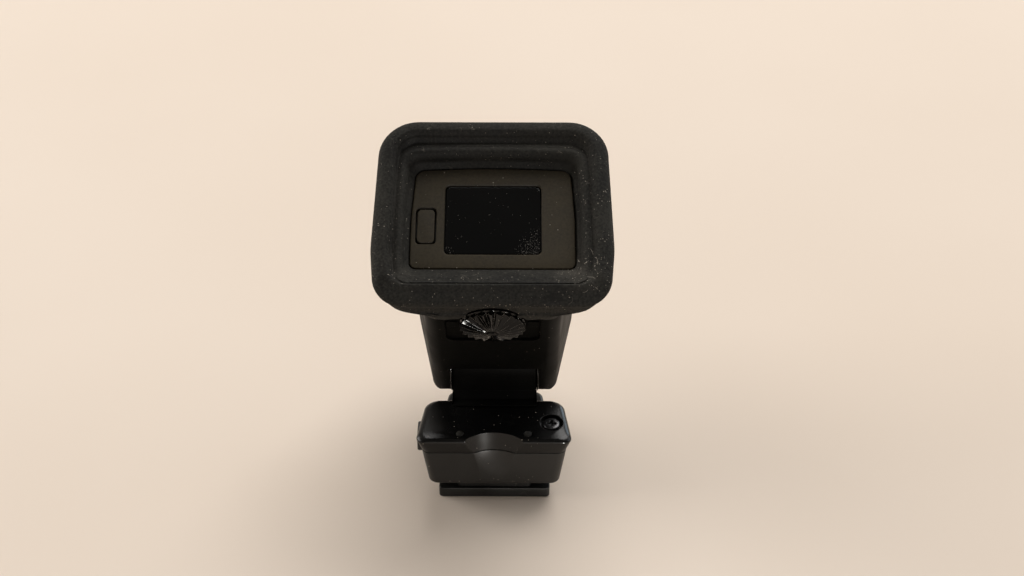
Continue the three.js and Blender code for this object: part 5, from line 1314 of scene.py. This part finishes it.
@dataclass(frozen=True)
class Dial:
    """The diopter dial: a shallow cone of sharp ribs round a small hub."""

    s: float = 29.5
    radius: float = 5.05
    rim_stand: float = 0.9
    peak_stand: float = 1.7
    peak_radius: float = 0.9
    sunk: float = 0.3
    ribs: int = 22
    rib_depth: float = 0.5
    points_per_rib: int = 10
    steep_share: float = 0.3
    rings_to_hub: int = 14
    slope_power: float = 0.85
    rim_foot: float = 0.05
    rim_notch: float = 0.25
    rim_notch_stand: float = 0.2
    notch_share: float = 0.5
    hub_shares: Pair = (0.8, 0.4)
    hub_dip: float = 0.12

    def skin(self) -> Skin:
        """Return the knob's skin.

        Over an angle and a place v from the rim to the hub, the radius falls from the rim's to
        the hub's and the height rises. A saw wave of the angle sinks one side of each rib: from
        the ridge the surface falls evenly over most of a rib's share, and then rises steeply.
        """
        angle = np.arange(self.ribs * self.points_per_rib) / self.points_per_rib
        part = angle % 1
        steep = self.steep_share
        groove = np.where(part < 1 - steep, part / (1 - steep), (1 - part) / steep)
        theta = angle * 2 * np.pi / self.ribs
        v = np.linspace(0, 1, self.rings_to_hub)
        hub = self.peak_radius
        radius = self.radius + (hub - self.radius) * v**self.slope_power
        stand = self.rim_stand + (self.peak_stand - self.rim_stand) * np.sin(v * np.pi / 2)
        depth = self.rib_depth * (1 - v**2)
        rings = [
            self.ring(theta, self.radius, -self.sunk),
            self.ring(theta, self.radius, self.rim_foot),
            self.ring(theta, self.radius - self.rim_notch * groove, self.rim_notch_stand),
        ]
        for r, height, sink in zip(radius, stand, depth):
            notched = r - self.notch_share * sink * groove
            rings.append(self.ring(theta, notched, height - sink * groove))
        for share, dip in zip(self.hub_shares, (0.0, self.hub_dip)):
            rings.append(self.ring(theta, hub * share, self.peak_stand - dip))
        return loft(rings)

    def ring(
        self, theta: np.ndarray, radius: float | np.ndarray, stand: float | np.ndarray
    ) -> np.ndarray:
        """Return one ring about the dial's axis, standing below the tube's underside."""
        height = np.broadcast_to(-np.asarray(stand, float), theta.shape)
        return np.column_stack(
            [radius * np.sin(theta), radius * np.cos(theta) - self.s, height]
        )

    def build(self) -> None:
        """Build the knob."""
        knob = self.skin()
        piece("dial_knob", knob, DIAL_BLACK, Body.DIAL, "diopter_dial", 14.0, in_tube=True)


# The base


@dataclass(frozen=True)
class Base:
    """The casing: a lower case with a shelf, a cover with the thumb scoop, and what sits in it."""

    rear: float = 9.6
    block_front: float = 0.7
    shelf_front: float = 9.7
    bottom: float = 3.5
    case_top: float = 10.3
    top: float = 13.4
    shelf_top: float = 7.5
    shelf_step: float = 0.4
    low_half: float = 11.2
    mid_half: float = 12.2
    top_half: float = 12.95
    taper_share: float = 0.14
    lean: float = 0.3
    rear_corner: float = 1.5
    front_corner: float = 2.3
    bottom_round: float = 0.6
    edge_round: float = 0.8
    side_round: float = 1.5
    wall: float = 1.1
    skin: float = 1.1
    floor_inset: float = 0.3
    edge_stop: float = 0.3
    scoop_radius: float = 7.35
    scoop_depth: float = 1.7
    scoop_reach: float = 5.9
    arm_foot_half: float = 5.9
    arm_y: Pair = (1.35, 8.4)
    pin_at: Pair = (0.0, -5.1)
    pin_bore: float = 1.0
    screw_at: Pair = (9.5, -5.1)
    screw_recess: float = 1.95
    recess_depth: float = 1.0
    screw_head: float = 1.4
    screw_head_height: float = 0.7
    screw_shank: float = 0.7
    screw_length: float = 4.2
    boss_low: float = 0.5
    pad_x: float = 5.6
    pad_y: float = -7.9
    pad_radius: float = 0.6
    pad_stand: float = 0.3
    pad_depth: float = 0.6
    pad_stop: float = 0.08
    button_x: Pair = (-12.75, -8.8)
    button_y: Pair = (-7.2, -3.0)
    button_z: Pair = (8.7, 12.0)
    button_stem: float = 0.6
    button_travel: float = 2.0
    button_edge: float = 0.3
    button_corner: float = 0.55

    def plan(
        self,
        rear_half: float,
        by: float,
        lean: float,
        front: float,
        corners: Pair,
        side: float = 0.0,
    ) -> np.ndarray:
        """Return the base's outline in x and y at one height.

        The half width falls evenly by taper_share of the distance from the rear. The outline
        is drawn in by a distance all round, and by a further one at its sides.

        Args:
            rear_half: Half the width at the rear.
            by: How far the outline is drawn in all round.
            lean: How far the rear face stands in at this height.
            front: The y of the front end.
            corners: The rear and the front corners' radii.
            side: How much further the sides are drawn in.

        Returns:
            The outline.
        """
        rear_x = rear_half - by - side
        front_x = rear_x - self.taper_share * (front + self.rear)
        rear_y, front_y = -self.rear + by + lean, front - by
        points = [
            [-rear_x, rear_y, corners[0]],
            [rear_x, rear_y, corners[0]],
            [front_x, front_y, corners[1]],
            [-front_x, front_y, corners[1]],
        ]
        return rounded_outline(np.array(points))

    def block_ring(
        self, half: float, by: float, lean: float, z: float, side: float = 0.0
    ) -> np.ndarray:
        """Return a ring of the full-height block's outside."""
        corners = (self.rear_corner, self.front_corner)
        return upright(self.plan(half, by, lean, self.block_front, corners, side), z)

    def hollow_ring(self, half: float, by: float, lean: float, z: float) -> np.ndarray:
        """Return a ring of the space inside the block."""
        corners = (self.wall / 2, self.front_corner - self.wall)
        return upright(self.plan(half, by, lean, self.block_front, corners), z)

    def scoop(self, radius: float) -> Skin:
        """Return the leaning cylinder that cuts the thumb scoop."""
        rise = np.arctan2(self.scoop_depth, self.scoop_reach)
        half = 2 * (self.top - self.bottom)
        bar = rod(Axis.Z, radius, half, (0, 0), sides=3 * ROD_SIDES)
        x, y, z = bar.points.T
        turned_y = y * np.cos(rise) + z * np.sin(rise)
        turned_z = z * np.cos(rise) - y * np.sin(rise)
        centre_y = -self.rear + self.scoop_depth - self.scoop_radius
        return bar.moved(np.column_stack([x, turned_y + centre_y, turned_z + self.top]))

    def boss(self, radius: float, span: Sequence[float]) -> Skin:
        """Return a rod on the cover screw's axis."""
        return rod(Axis.Z, radius, span, self.screw_at)

    def button_opening(self) -> Skin:
        """Return the cutter for the lock button's way through the wall."""
        return block(
            (self.button_x[0] - OVERRUN, self.button_x[1] + self.button_travel),
            widened(self.button_y, SEAT_GAP),
            widened(self.button_z, SEAT_GAP),
        )

    def space(self, *rings: np.ndarray) -> Skin:
        """Return the space inside some rings, less the wall behind the thumb scoop."""
        backing = self.scoop(self.scoop_radius + self.wall)
        made = carve(object_of("space", loft(rings)), Cut.AWAY.by(backing))
        faces = [list(polygon.vertices) for polygon in made.data.polygons]
        skin = Skin(mesh_points(made.data), faces)
        bpy.data.objects.remove(made)
        return skin

    def build_case(self) -> None:
        """Build the lower case: the block, its shelf, the hollow and the cuts."""
        by, rise = quarter_round(self.bottom_round)
        low = self.bottom + rise
        rings = [self.block_ring(self.low_half, b, 0.0, z) for b, z in zip(by, low)]
        rings.append(self.block_ring(self.mid_half, 0.0, self.lean, self.case_top))
        half = self.low_half - self.shelf_step
        corners = (self.rear_corner, self.rear_corner)
        heights = np.concatenate([low, (self.shelf_top - rise)[::-1]])
        shelf = [
            upright(self.plan(half, b, 2 * self.wall, self.shelf_front, corners), z)
            for b, z in zip(np.concatenate([by, by[::-1]]), heights)
        ]
        floor = self.bottom + self.wall
        space = self.space(
            self.hollow_ring(self.low_half, self.wall + self.floor_inset, 0.0, floor),
            self.hollow_ring(self.mid_half, self.wall, self.lean, self.case_top),
            self.hollow_ring(self.mid_half, self.wall, self.lean, self.case_top + OVERRUN),
        )
        arm_hole = block(
            self.arm_foot_half + SEAT_GAP,
            widened(self.arm_y, SEAT_GAP),
            (floor, self.shelf_top + OVERRUN),
        )
        pin_hole = rod(Axis.Z, self.pin_bore, (-OVERRUN, floor + OVERRUN), self.pin_at)
        steps = Cut.JOIN.by(loft(shelf)) + Cut.AWAY.by(
            space, arm_hole, self.button_opening(), self.scoop(self.scoop_radius), pin_hole
        )
        made = carve(object_of("case", loft(rings)), steps)
        piece("case_moulding", made, CASE_BLACK, Body.BASE, "base_case")

    def build_cover(self) -> None:
        """Build the cover, its top edges rounded further at the sides than at the rear."""
        low = self.case_top + SEAT_GAP
        angle = np.linspace(0, np.pi / 2 - self.edge_stop, 2 * ROUND_STEPS)
        heights = self.top - self.edge_round * (np.sin(angle[-1]) - np.sin(angle))
        rings = [self.block_ring(self.mid_half, 0.0, self.lean, low)]
        for share, z in zip(1 - np.cos(angle), heights):
            side = (self.side_round - self.edge_round) * share
            rings.append(self.block_ring(self.top_half, self.edge_round * share, 0.0, z, side))
        space = self.space(
            self.hollow_ring(self.mid_half, self.wall, self.lean, low - OVERRUN),
            self.hollow_ring(self.mid_half, self.wall, self.lean, self.top - self.skin),
        )
        floor, beyond = self.top - self.recess_depth, self.top + OVERRUN
        boss = self.boss(self.screw_recess + SEAT_GAP, (low + self.boss_low, floor))
        bore = self.pad_radius + BORE_CLEARANCE
        pad_seats = [
            rod(Axis.Z, bore, (self.top - self.pad_depth, beyond), (x, self.pad_y))
            for x in ends(self.pad_x)
        ]
        steps = Cut.AWAY.by(space) + Cut.JOIN.by(boss)
        steps += Cut.AWAY.by(
            self.boss(self.screw_recess, (floor, beyond)),
            self.boss(self.screw_shank + SEAT_GAP, (low, beyond)),
            *pad_seats,
            self.button_opening(),
            self.scoop(self.scoop_radius),
        )
        made = carve(object_of("cover", loft(rings)), steps)
        piece("cover_moulding", made, COVER_BLACK, Body.BASE, "base_cover")

    def build_fittings(self) -> None:
        """Build the cover screw, the rest pads and the lock button."""
        seat = self.top - self.recess_depth + SEAT_GAP
        screw = Screw(self.screw_head, self.screw_head_height, self.screw_shank)
        made = screw.make(self.screw_at, seat, seat - self.screw_length)
        piece("cover_screw_cross", made, BLACK_SCREW, Body.BASE, "cover_screw")
        angle = np.linspace(0, np.pi / 2 - self.pad_stop, ROUND_STEPS)
        dome = np.column_stack(
            [self.pad_radius * np.cos(angle), self.top + self.pad_stand * np.sin(angle)]
        )
        low = self.top - self.pad_depth + SEAT_GAP
        profile = np.concatenate([[[self.pad_radius, low]], dome])
        for side, sign in SIDES:
            pad = turned(Axis.Z, profile, (sign * self.pad_x, self.pad_y), ROD_SIDES // 2)
            piece(f"pad_{side}", pad, RUBBER, Body.BASE, f"rest_pad_{side}", 60.0)
        piece("lock_button_cap", self.button(), CASE_BLACK, Body.BUTTON, "lock_button")

    def button(self) -> Skin:
        """Return the lock button, its outer edges rounded by a quarter round."""
        inner = self.button_x[1] + self.button_stem
        edge = zip(*quarter_round(self.button_edge))
        rings = [sideways(self.button_outline(by), self.button_x[0] + x) for by, x in edge]
        return loft([*rings, sideways(self.button_outline(0.0), inner)])

    def button_outline(self, by: float) -> np.ndarray:
        """Return the button's outline in y and z, drawn in by a distance."""
        y_span, z_span = widened(self.button_y, -by), widened(self.button_z, -by)
        return rounded_rectangle(y_span, z_span, self.button_corner - by)

    def build(self) -> None:
        """Build all of the base's outer pieces."""
        self.build_case()
        self.build_cover()
        self.build_fittings()


@dataclass(frozen=True)
class Screw:
    """A round-headed screw with a cross slot."""

    head: float
    head_height: float
    shank: float
    slot_width: float = 0.45
    slot_span: float = 1.6
    slot_depth: float = 0.45
    dome: float = 0.25
    dome_stop: float = 0.3
    point: float = 0.3
    tip_share: float = 0.6

    def make(self, at: Sequence[float], seat: float, tip: float) -> bpy.types.Object:
        """Build one screw on a line along z.

        Args:
            at: The screw's x and y.
            seat: The z that its head rests on.
            tip: The z of its end. Below the seat the head is up, and above it down.

        Returns:
            The object.
        """
        up = 1 if seat > tip else -1
        face = seat + up * self.head_height
        angle = np.linspace(0, np.pi / 2 - self.dome_stop, ROUND_STEPS)
        dome = np.column_stack(
            [
                self.head - self.dome * (1 - np.cos(angle)),
                face - up * self.dome * (1 - np.sin(angle) / np.sin(angle[-1])),
            ]
        )
        shank = [[self.shank, tip + up * self.point], [self.shank, seat], [self.head, seat]]
        profile = np.concatenate([[[self.shank * self.tip_share, tip]], shank, dome])
        (x, y), z_span = at, sorted((face - up * self.slot_depth, face + up * OVERRUN))
        width, reach = self.slot_width / 2, self.slot_span / 2
        slots = [
            block(widened((x, x), across), widened((y, y), along), z_span)
            for across, along in ((reach, width), (width, reach))
        ]
        return carve(object_of("screw", turned(Axis.Z, profile, at)), Cut.AWAY.by(*slots))


@dataclass(frozen=True)
class Arm:
    """The hinge arm: a foot inside the shelf, a flange over the cover's edge, and a barrel."""

    half: float = 7.1
    foot_half: float = 5.9
    rear_y: float = 1.35
    front_y: float = 8.4
    neck_rear: float = 0.85
    neck_low: float = 7.65
    neck_height: float = 4.4
    flange_low: float = 13.55
    flange_top: float = 13.75
    flange_rise: float = 1.0
    flange_rear: float = 1.3
    flange_ramp: float = 0.43
    barrel: float = 4.5
    jaw_drop: float = 1.2
    floor: float = 4.6
    foot_step: float = 0.05
    edge: float = 0.35
    edge_steps: int = 6
    barrel_points: int = 40
    bore: float = 1.55
    head: float = 1.9
    head_x: Pair = (9.05, 9.55)
    head_edge: float = 0.12
    shank: float = 1.4
    shank_x: float = 4.75
    shank_edge: float = 0.1
    slot_depth: float = 0.25
    slot_half: float = 0.22

    def outline(self) -> np.ndarray:
        """Return the arm's side outline in y and z, with the barrel as a half circle."""
        angle = np.linspace(0, np.pi, self.barrel_points)
        y, z = TUBE.pivot_y, TUBE.pivot_z
        barrel = np.column_stack(
            [y + self.barrel * np.cos(angle), z + self.barrel * np.sin(angle)]
        )
        front = [
            [self.neck_rear, self.neck_low],
            [self.front_y, self.neck_low],
            [self.front_y, self.neck_low + self.neck_height],
            [y + self.barrel, z - self.jaw_drop],
        ]
        rear = [
            [self.rear_y, self.flange_top + self.flange_rise],
            [self.flange_ramp, self.flange_top],
            [-self.flange_rear, self.flange_top],
            [-self.flange_rear, self.flange_low],
            [self.neck_rear, self.flange_low],
        ]
        return np.concatenate([front, barrel, rear])

    def skin(self) -> Skin:
        """Return the arm across x, its outline drawn in towards both side faces."""
        outline = self.outline()
        edge = zip(*quarter_round(self.edge, self.edge_steps))
        right = [sideways(grown(outline, -by), self.half - along) for by, along in edge]
        left = [ring * [-1, 1, 1] for ring in reversed(right)]
        return loft(right + left)

    def build(self) -> None:
        """Build the arm and the two pivot screws."""
        foot = block(
            self.foot_half,
            (self.rear_y, self.front_y - self.foot_step),
            (self.floor, self.neck_low + SEAT_GAP),
        )
        pivot = (TUBE.pivot_y, TUBE.pivot_z)
        bore = rod(Axis.X, self.bore, self.half + OVERRUN, pivot)
        made = carve(object_of("arm", self.skin()), Cut.JOIN.by(foot) + Cut.AWAY.by(bore))
        piece("arm_moulding", made, TUBE_BLACK, Body.BASE, "hinge_arm")
        for side, sign in SIDES:
            inner, outer = (sign * x for x in self.head_x)
            shank_span = (sign * self.shank_x, outer)
            shank = rod(Axis.X, self.shank, shank_span, pivot, self.shank_edge)
            head = rod(Axis.X, self.head, (inner, outer), pivot, self.head_edge)
            slot = block(
                sorted((outer - sign * self.slot_depth, outer + sign * OVERRUN)),
                widened((pivot[0], pivot[0]), self.head),
                widened((pivot[1], pivot[1]), self.slot_half),
            )
            screw = carve(object_of("pin", shank), Cut.JOIN.by(head) + Cut.AWAY.by(slot))
            piece(f"pivot_{side}", screw, STEEL, Body.BASE, f"hinge_screw_{side}")


@dataclass(frozen=True)
class Foot:
    """The accessory foot, its neck, the pocket for the contact block and the four screws from
    below.
    """

    width: float = 18.6
    length: float = 18.0
    thickness: float = 2.0
    corner: float = 0.6
    bevel: float = 0.2
    neck_width: float = 12.4
    neck_top: float = 3.5
    neck_inset: float = 0.5
    block_width: float = 12.0
    block_length: float = 3.6
    block_height: float = 1.4
    screws: tuple[Pair, ...] = (
        (-4.6, -0.8), (4.6, -0.8), (-4.6, 2.6), (4.6, 2.6),
    )
    screw_head: float = 1.4
    screw_head_height: float = 0.7
    screw_shank: float = 0.65
    screw_tip: float = 5.6
    pin_at: Pair = (0.0, -5.1)
    pin_bore: float = 1.0

    def plan(self, by: float) -> np.ndarray:
        """Return the plate's outline, drawn in by a distance."""
        return rounded_rectangle(self.width / 2 - by, self.length / 2 - by, self.corner)

    def build(self) -> None:
        """Build the plate, the neck and the screws."""
        by, low = quarter_round(self.bevel)
        rings = [upright(self.plan(b), z) for b, z in zip(by, low)]
        rings += [upright(self.plan(b), self.thickness - z) for b, z in zip(by[::-1], low[::-1])]
        front = self.length / 2
        pocket = block(
            self.block_width / 2 + SEAT_GAP,
            (front - self.block_length - SEAT_GAP, front + OVERRUN),
            (-OVERRUN, self.block_height + SEAT_GAP),
        )
        cuts = [pocket, self.pin_hole()]
        for at in self.screws:
            counterbore = (-OVERRUN, self.screw_head_height + 2 * SEAT_GAP)
            cuts.append(rod(Axis.Z, self.screw_head + SEAT_GAP, counterbore, at))
            cuts.append(self.screw_hole(at))
        made = carve(object_of("plate", loft(rings)), Cut.AWAY.by(*cuts))
        piece("foot_plate", made, FOOT_BLACK, Body.BASE, "shoe_foot")

        reach = self.length / 2 - self.neck_inset
        outline = rounded_rectangle(self.neck_width / 2, reach, self.corner)
        neck = loft([upright(outline, z) for z in (self.thickness, self.neck_top)])
        holes = [*(self.screw_hole(at) for at in self.screws), self.pin_hole()]
        made = carve(object_of("neck", neck), Cut.AWAY.by(*holes))
        piece("foot_neck_block", made, FOOT_BLACK, Body.BASE, "foot_neck")

        screw = Screw(self.screw_head, self.screw_head_height, self.screw_shank)
        seat = SEAT_GAP + self.screw_head_height
        for count, at in enumerate(self.screws, 1):
            name = f"foot_screw_{count}"
            made = screw.make(at, seat, self.screw_tip)
            piece(name + "_cross", made, BLACK_SCREW, Body.BASE, name)

    def pin_hole(self) -> Skin:
        """Return the lock pin's hole."""
        return rod(Axis.Z, self.pin_bore, (-OVERRUN, self.neck_top + OVERRUN), self.pin_at)

    def screw_hole(self, at: Sequence[float]) -> Skin:
        """Return one screw's hole."""
        return rod(Axis.Z, self.screw_shank + SEAT_GAP, (-OVERRUN, 2 * self.screw_tip), at)


@dataclass(frozen=True)
class FrictionDisc:
    """A thin disc in the gap between the arm and the tube, with an oil groove in the face towards
    the arm.
    """

    inner_x: float = 7.15
    thickness: float = 0.2
    radius: float = 5.2
    bore: float = 2.3
    bevel: float = 0.05
    groove: float = 0.04
    groove_half: float = 0.2

    def build(self) -> None:
        """Build one disc on each side."""
        outer_x = self.inner_x + self.thickness
        middle = (self.radius + self.bore) / 2
        profile = [
            [self.bore, self.inner_x + self.bevel],
            [self.bore + self.bevel, self.inner_x],
            [middle - self.groove_half, self.inner_x],
            [middle, self.inner_x + self.groove],
            [middle + self.groove_half, self.inner_x],
            [self.radius - self.bevel, self.inner_x],
            [self.radius, self.inner_x + self.bevel],
            [self.radius, outer_x - self.bevel],
            [self.radius - self.bevel, outer_x],
            [self.bore + self.bevel, outer_x],
            [self.bore, outer_x - self.bevel],
        ]
        for side, sign in SIDES:
            rows = np.array(profile) * [1, sign]
            angle = np.arange(ROD_SIDES * 2) * np.pi / ROD_SIDES
            y = TUBE.pivot_y + rows[:, 0, None] * np.cos(angle)
            z = TUBE.pivot_z + rows[:, 0, None] * np.sin(angle)
            x = np.broadcast_to(rows[:, 1, None], y.shape)
            disc = loft(np.stack([x, y, z], axis=-1), loop=True)
            name = f"friction_disc_{side}"
            piece(name, disc, OXIDE, Body.FINDER, f"friction_washer_{side}")


@dataclass(frozen=True)
class Spring:
    """The lock's coil spring, with its last half turns closed."""

    centre: Pair = (0.0, -5.1)
    low: float = 10.9
    high: float = 12.0
    fixed: float = 12.15
    travel: float = 0.8
    radius: float = 1.2
    wire: float = 0.14
    turns: float = 3.0
    steps: int = 144
    sides: int = 14

    def skin(self) -> Skin:
        """Return the wire, swept round the axis.

        The height stays level over the first and the last half turn and climbs evenly
        between them. Each ring stands in the plane of the radius and the axis.
        """
        turn = np.linspace(0.0, self.turns, self.steps)
        climb = np.clip((turn - 0.5) / (self.turns - 1.0), 0.0, 1.0)
        around = np.arange(self.sides) * 2 * np.pi / self.sides
        radius = self.radius + self.wire * np.cos(around)
        height = self.low + (self.high - self.low) * climb
        angle = 2 * np.pi * turn
        x = self.centre[0] + np.cos(angle)[:, None] * radius
        y = self.centre[1] + np.sin(angle)[:, None] * radius
        z = height[:, None] + self.wire * np.sin(around)
        return loft(np.stack([x, y, z], axis=-1))

    def build(self) -> None:
        """Build the spring, and give it a mesh of its own."""
        made = piece("lock_spring_coil", self.skin(), STEEL, Body.BASE, "lock_spring")
        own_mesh(made)


class Inside:
    """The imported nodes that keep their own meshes, and the finish of each."""

    WELD_MM = 0.002
    BEVEL_MM = 0.05
    BEVEL_FROM_DEG = 40
    FINISHES: dict[Finish | Glass, tuple[str, ...]] = {
        INNER_BLACK: (
            "contact_carrier", "lock_lever", "optics_frame", "lens_carrier", "lens_ring",
            "dial_shaft", "eyepiece_frame",
        ),
        GOLD: ("contact_comb",),
        STEEL: (
            "lever_axle", "lock_pin", "tilt_bracket", "bracket_screw_1", "bracket_screw_2",
            "display_plate", "guide_rod_1", "guide_rod_2", "dial_clip",
        ),
        BOARD: ("base_board", "finder_board", "sensor_board"),
        CHIP: ("board_socket", "driver_chip", "eye_sensor"),
        RIBBON: ("base_ribbon", "finder_ribbon"),
        DISPLAY: ("display_panel",),
        LENS_GLASS: ("display_lens", "middle_lens", "eye_lens"),
    }

    def dress(self, nodes: dict[str, bpy.types.Object]) -> None:
        """Give each node its finish and a small bevel.

        Args:
            nodes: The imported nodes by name.
        """
        for finish, names in self.FINISHES.items():
            for name in names:
                node = nodes[name]
                node.data.materials.clear()
                node.data.materials.append(finish.material())
                weld = node.modifiers.new("weld", "WELD")
                weld.merge_threshold = self.WELD_MM * METRES
                bevel = node.modifiers.new("edges", "BEVEL")
                bevel.width = self.BEVEL_MM * METRES
                bevel.segments = 2
                bevel.limit_method = "ANGLE"
                bevel.angle_limit = float(np.radians(self.BEVEL_FROM_DEG))
                LOG.info("%s keeps its packed mesh", name)


# The stage


@dataclass(frozen=True)
class Lamp:
    """A soft light, in metres and watts. A card shows only in what mirrors it."""

    name: str
    at: Triple
    size: Pair
    power: float
    colour: Triple
    card: bool = False

    def build(self, aim: Sequence[float]) -> None:
        """Make the light, facing a point."""
        data = bpy.data.lights.new(self.name, "AREA")
        data.shape = "RECTANGLE"
        data.size, data.size_y = self.size
        data.energy = self.power
        data.color = self.colour
        made = bpy.data.objects.new(self.name, data)
        made.location = self.at
        away = unit(np.asarray(self.at) - np.asarray(aim))
        turn = float(np.arctan2(away[0], -away[1]))
        made.rotation_euler = (float(np.arccos(away[2])), 0.0, turn)
        made.visible_diffuse = not self.card
        bpy.context.scene.collection.objects.link(made)


LAMPS = (
    Lamp("back", (0.32, 0.85, 1.38), (1.4, 1.0), 21.0, (1.0, 0.98, 0.96)),
    Lamp("left", (-1.4, 0.3, 0.62), (1.2, 0.9), 14.0, (1.0, 0.97, 0.94)),
    Lamp("right", (1.35, 0.35, 0.58), (1.0, 0.8), 3.6, (0.9, 0.95, 1.0)),
    Lamp("card_front", (0.44, -1.1, 0.12), (0.16, 0.26), 15.0, (1.0, 0.97, 0.92), card=True),
    Lamp("card_back", (0.62, 1.0, 0.42), (0.34, 0.34), 1.3, (0.7, 0.88, 1.0), card=True),
)


@dataclass(frozen=True)
class Studio:
    """The camera at the photograph's viewpoint, the pale floor, the soft lights and the sky."""

    lens_mm: float = 49.8
    sensor_mm: float = 36.0
    pitch_deg: float = 53.0
    yaw_deg: float = 0.27
    camera_mm: Triple = (3.78, -178.98, 172.28)
    clip_m: Pair = (0.01, 10.0)
    aim_m: Triple = (0.0, 0.0, 0.02)
    floor_half_mm: float = 900.0
    floor_points: int = 33
    fade_m: Pair = (0.35, 0.88)
    floor_colour: Colour = (237, 224, 210)
    floor_shade: Colour = (232, 218, 203)
    sky_strength: Pair = (0.08, 0.34)
    sky_colour: tuple[float, float, float, float] = (1.0, 0.9, 0.8, 1.0)
    horizon: Pair = (0.1, 0.3)

    def camera(self) -> None:
        """Make the camera."""
        data = bpy.data.cameras.new("camera")
        data.lens = self.lens_mm
        data.sensor_width = self.sensor_mm
        data.clip_start, data.clip_end = self.clip_m
        made = bpy.data.objects.new("camera", data)
        made.location = [x * METRES for x in self.camera_mm]
        made.rotation_euler = (np.radians(self.pitch_deg), 0.0, np.radians(self.yaw_deg))
        bpy.context.scene.collection.objects.link(made)
        bpy.context.scene.camera = made

    def floor(self) -> None:
        """Make the floor, a flat grid whose far parts fade into the background."""
        count = self.floor_points
        side = np.linspace(-self.floor_half_mm, self.floor_half_mm, count)
        x, y = np.meshgrid(side, side, indexing="ij")
        points = np.column_stack([x.ravel(), y.ravel(), np.zeros(x.size)])
        corner = np.arange(count * count).reshape(count, count)[:-1, :-1].reshape(-1, 1)
        faces = (corner + [0, count, count + 1, 1]).tolist()
        mesh = bpy.data.meshes.new("floor")
        mesh.from_pydata((points * METRES).tolist(), [], faces)
        made = bpy.data.objects.new("floor", mesh)
        bpy.context.scene.collection.objects.link(made)
        mesh.materials.append(self.floor_material())

    def floor_material(self) -> bpy.types.Material:
        """Return the floor's material: a matt pale colour with faint clouds, clear far away."""
        made, graph, place = new_material("floor_pale")
        clouds = graph.spread(graph.noise(place, 5.0, 3.0), (0.35, 0.65))
        bump = {"Height": graph.noise(place, 2400.0, 3.0), "Strength": 0.05, "Distance": 2e-5}
        shader = {
            "Base Color": graph.blend(
                clouds, linear(*self.floor_shade), linear(*self.floor_colour)
            ),
            "Roughness": 0.95,
            "Specular IOR Level": 0.0,
            "Normal": graph.add("Bump", bump).outputs[0],
        }
        pale = graph.add("BsdfPrincipled", shader).outputs[0]
        away = graph.add("VectorMath", {0: place}, operation="LENGTH").outputs["Value"]
        clear = graph.add("BsdfTransparent").outputs[0]
        faded = {0: graph.spread(away, self.fade_m), 1: pale, 2: clear}
        graph.add("OutputMaterial", {"Surface": graph.add("MixShader", faded).outputs[0]})
        return made

    def sky(self) -> None:
        """Make the sky.

        The camera sees the floor's colour all round, and so do mirrored and refracted rays
        near the horizon. All other rays get a dim sky that is brighter behind the part.
        """
        world = bpy.data.worlds.new("sky")
        world.use_nodes = True
        world.node_tree.nodes.clear()
        graph = Graph(world.node_tree)
        generated = graph.add("TexCoord").outputs["Generated"]
        direction = graph.add("SeparateXYZ", {0: generated}).outputs
        strength = graph.spread(direction["Y"], (-0.9, 0.9), self.sky_strength)
        sky = graph.add("Background", {"Color": self.sky_colour, "Strength": strength})
        seen = graph.add("Background", {"Color": linear(*self.floor_colour), "Strength": 1.0})
        rays = graph.add("LightPath").outputs
        mirrored = graph.math("MAXIMUM", rays["Is Glossy Ray"], rays["Is Transmission Ray"])
        near_horizon = graph.spread(direction["Z"], self.horizon, (1.0, 0.0))
        mirrored = graph.math("MULTIPLY", mirrored, near_horizon)
        share = graph.math("MAXIMUM", rays["Is Camera Ray"], mirrored)
        either = graph.add("MixShader", {0: share, 1: sky.outputs[0], 2: seen.outputs[0]})
        graph.add("OutputWorld", {"Surface": either.outputs[0]})
        bpy.context.scene.world = world

    def build(self) -> None:
        """Set up everything round the part."""
        self.camera()
        self.floor()
        for lamp in LAMPS:
            lamp.build(self.aim_m)
        self.sky()
        bpy.context.scene.view_settings.view_transform = "Standard"


def main() -> None:
    """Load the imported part, build every outer piece round it and set the stage."""
    logging.basicConfig(level=logging.INFO, format="%(name)s %(message)s")
    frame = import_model()
    Studio().build()
    assemblies = (
        Housing(), Eyepiece(), Eyecup(), Dial(), Base(), Arm(), Foot(), FrictionDisc(), Spring(),
    )
    for assembly in assemblies:
        assembly.build()
    Inside().dress(frame["nodes"])


if __name__ == "__main__":
    main()
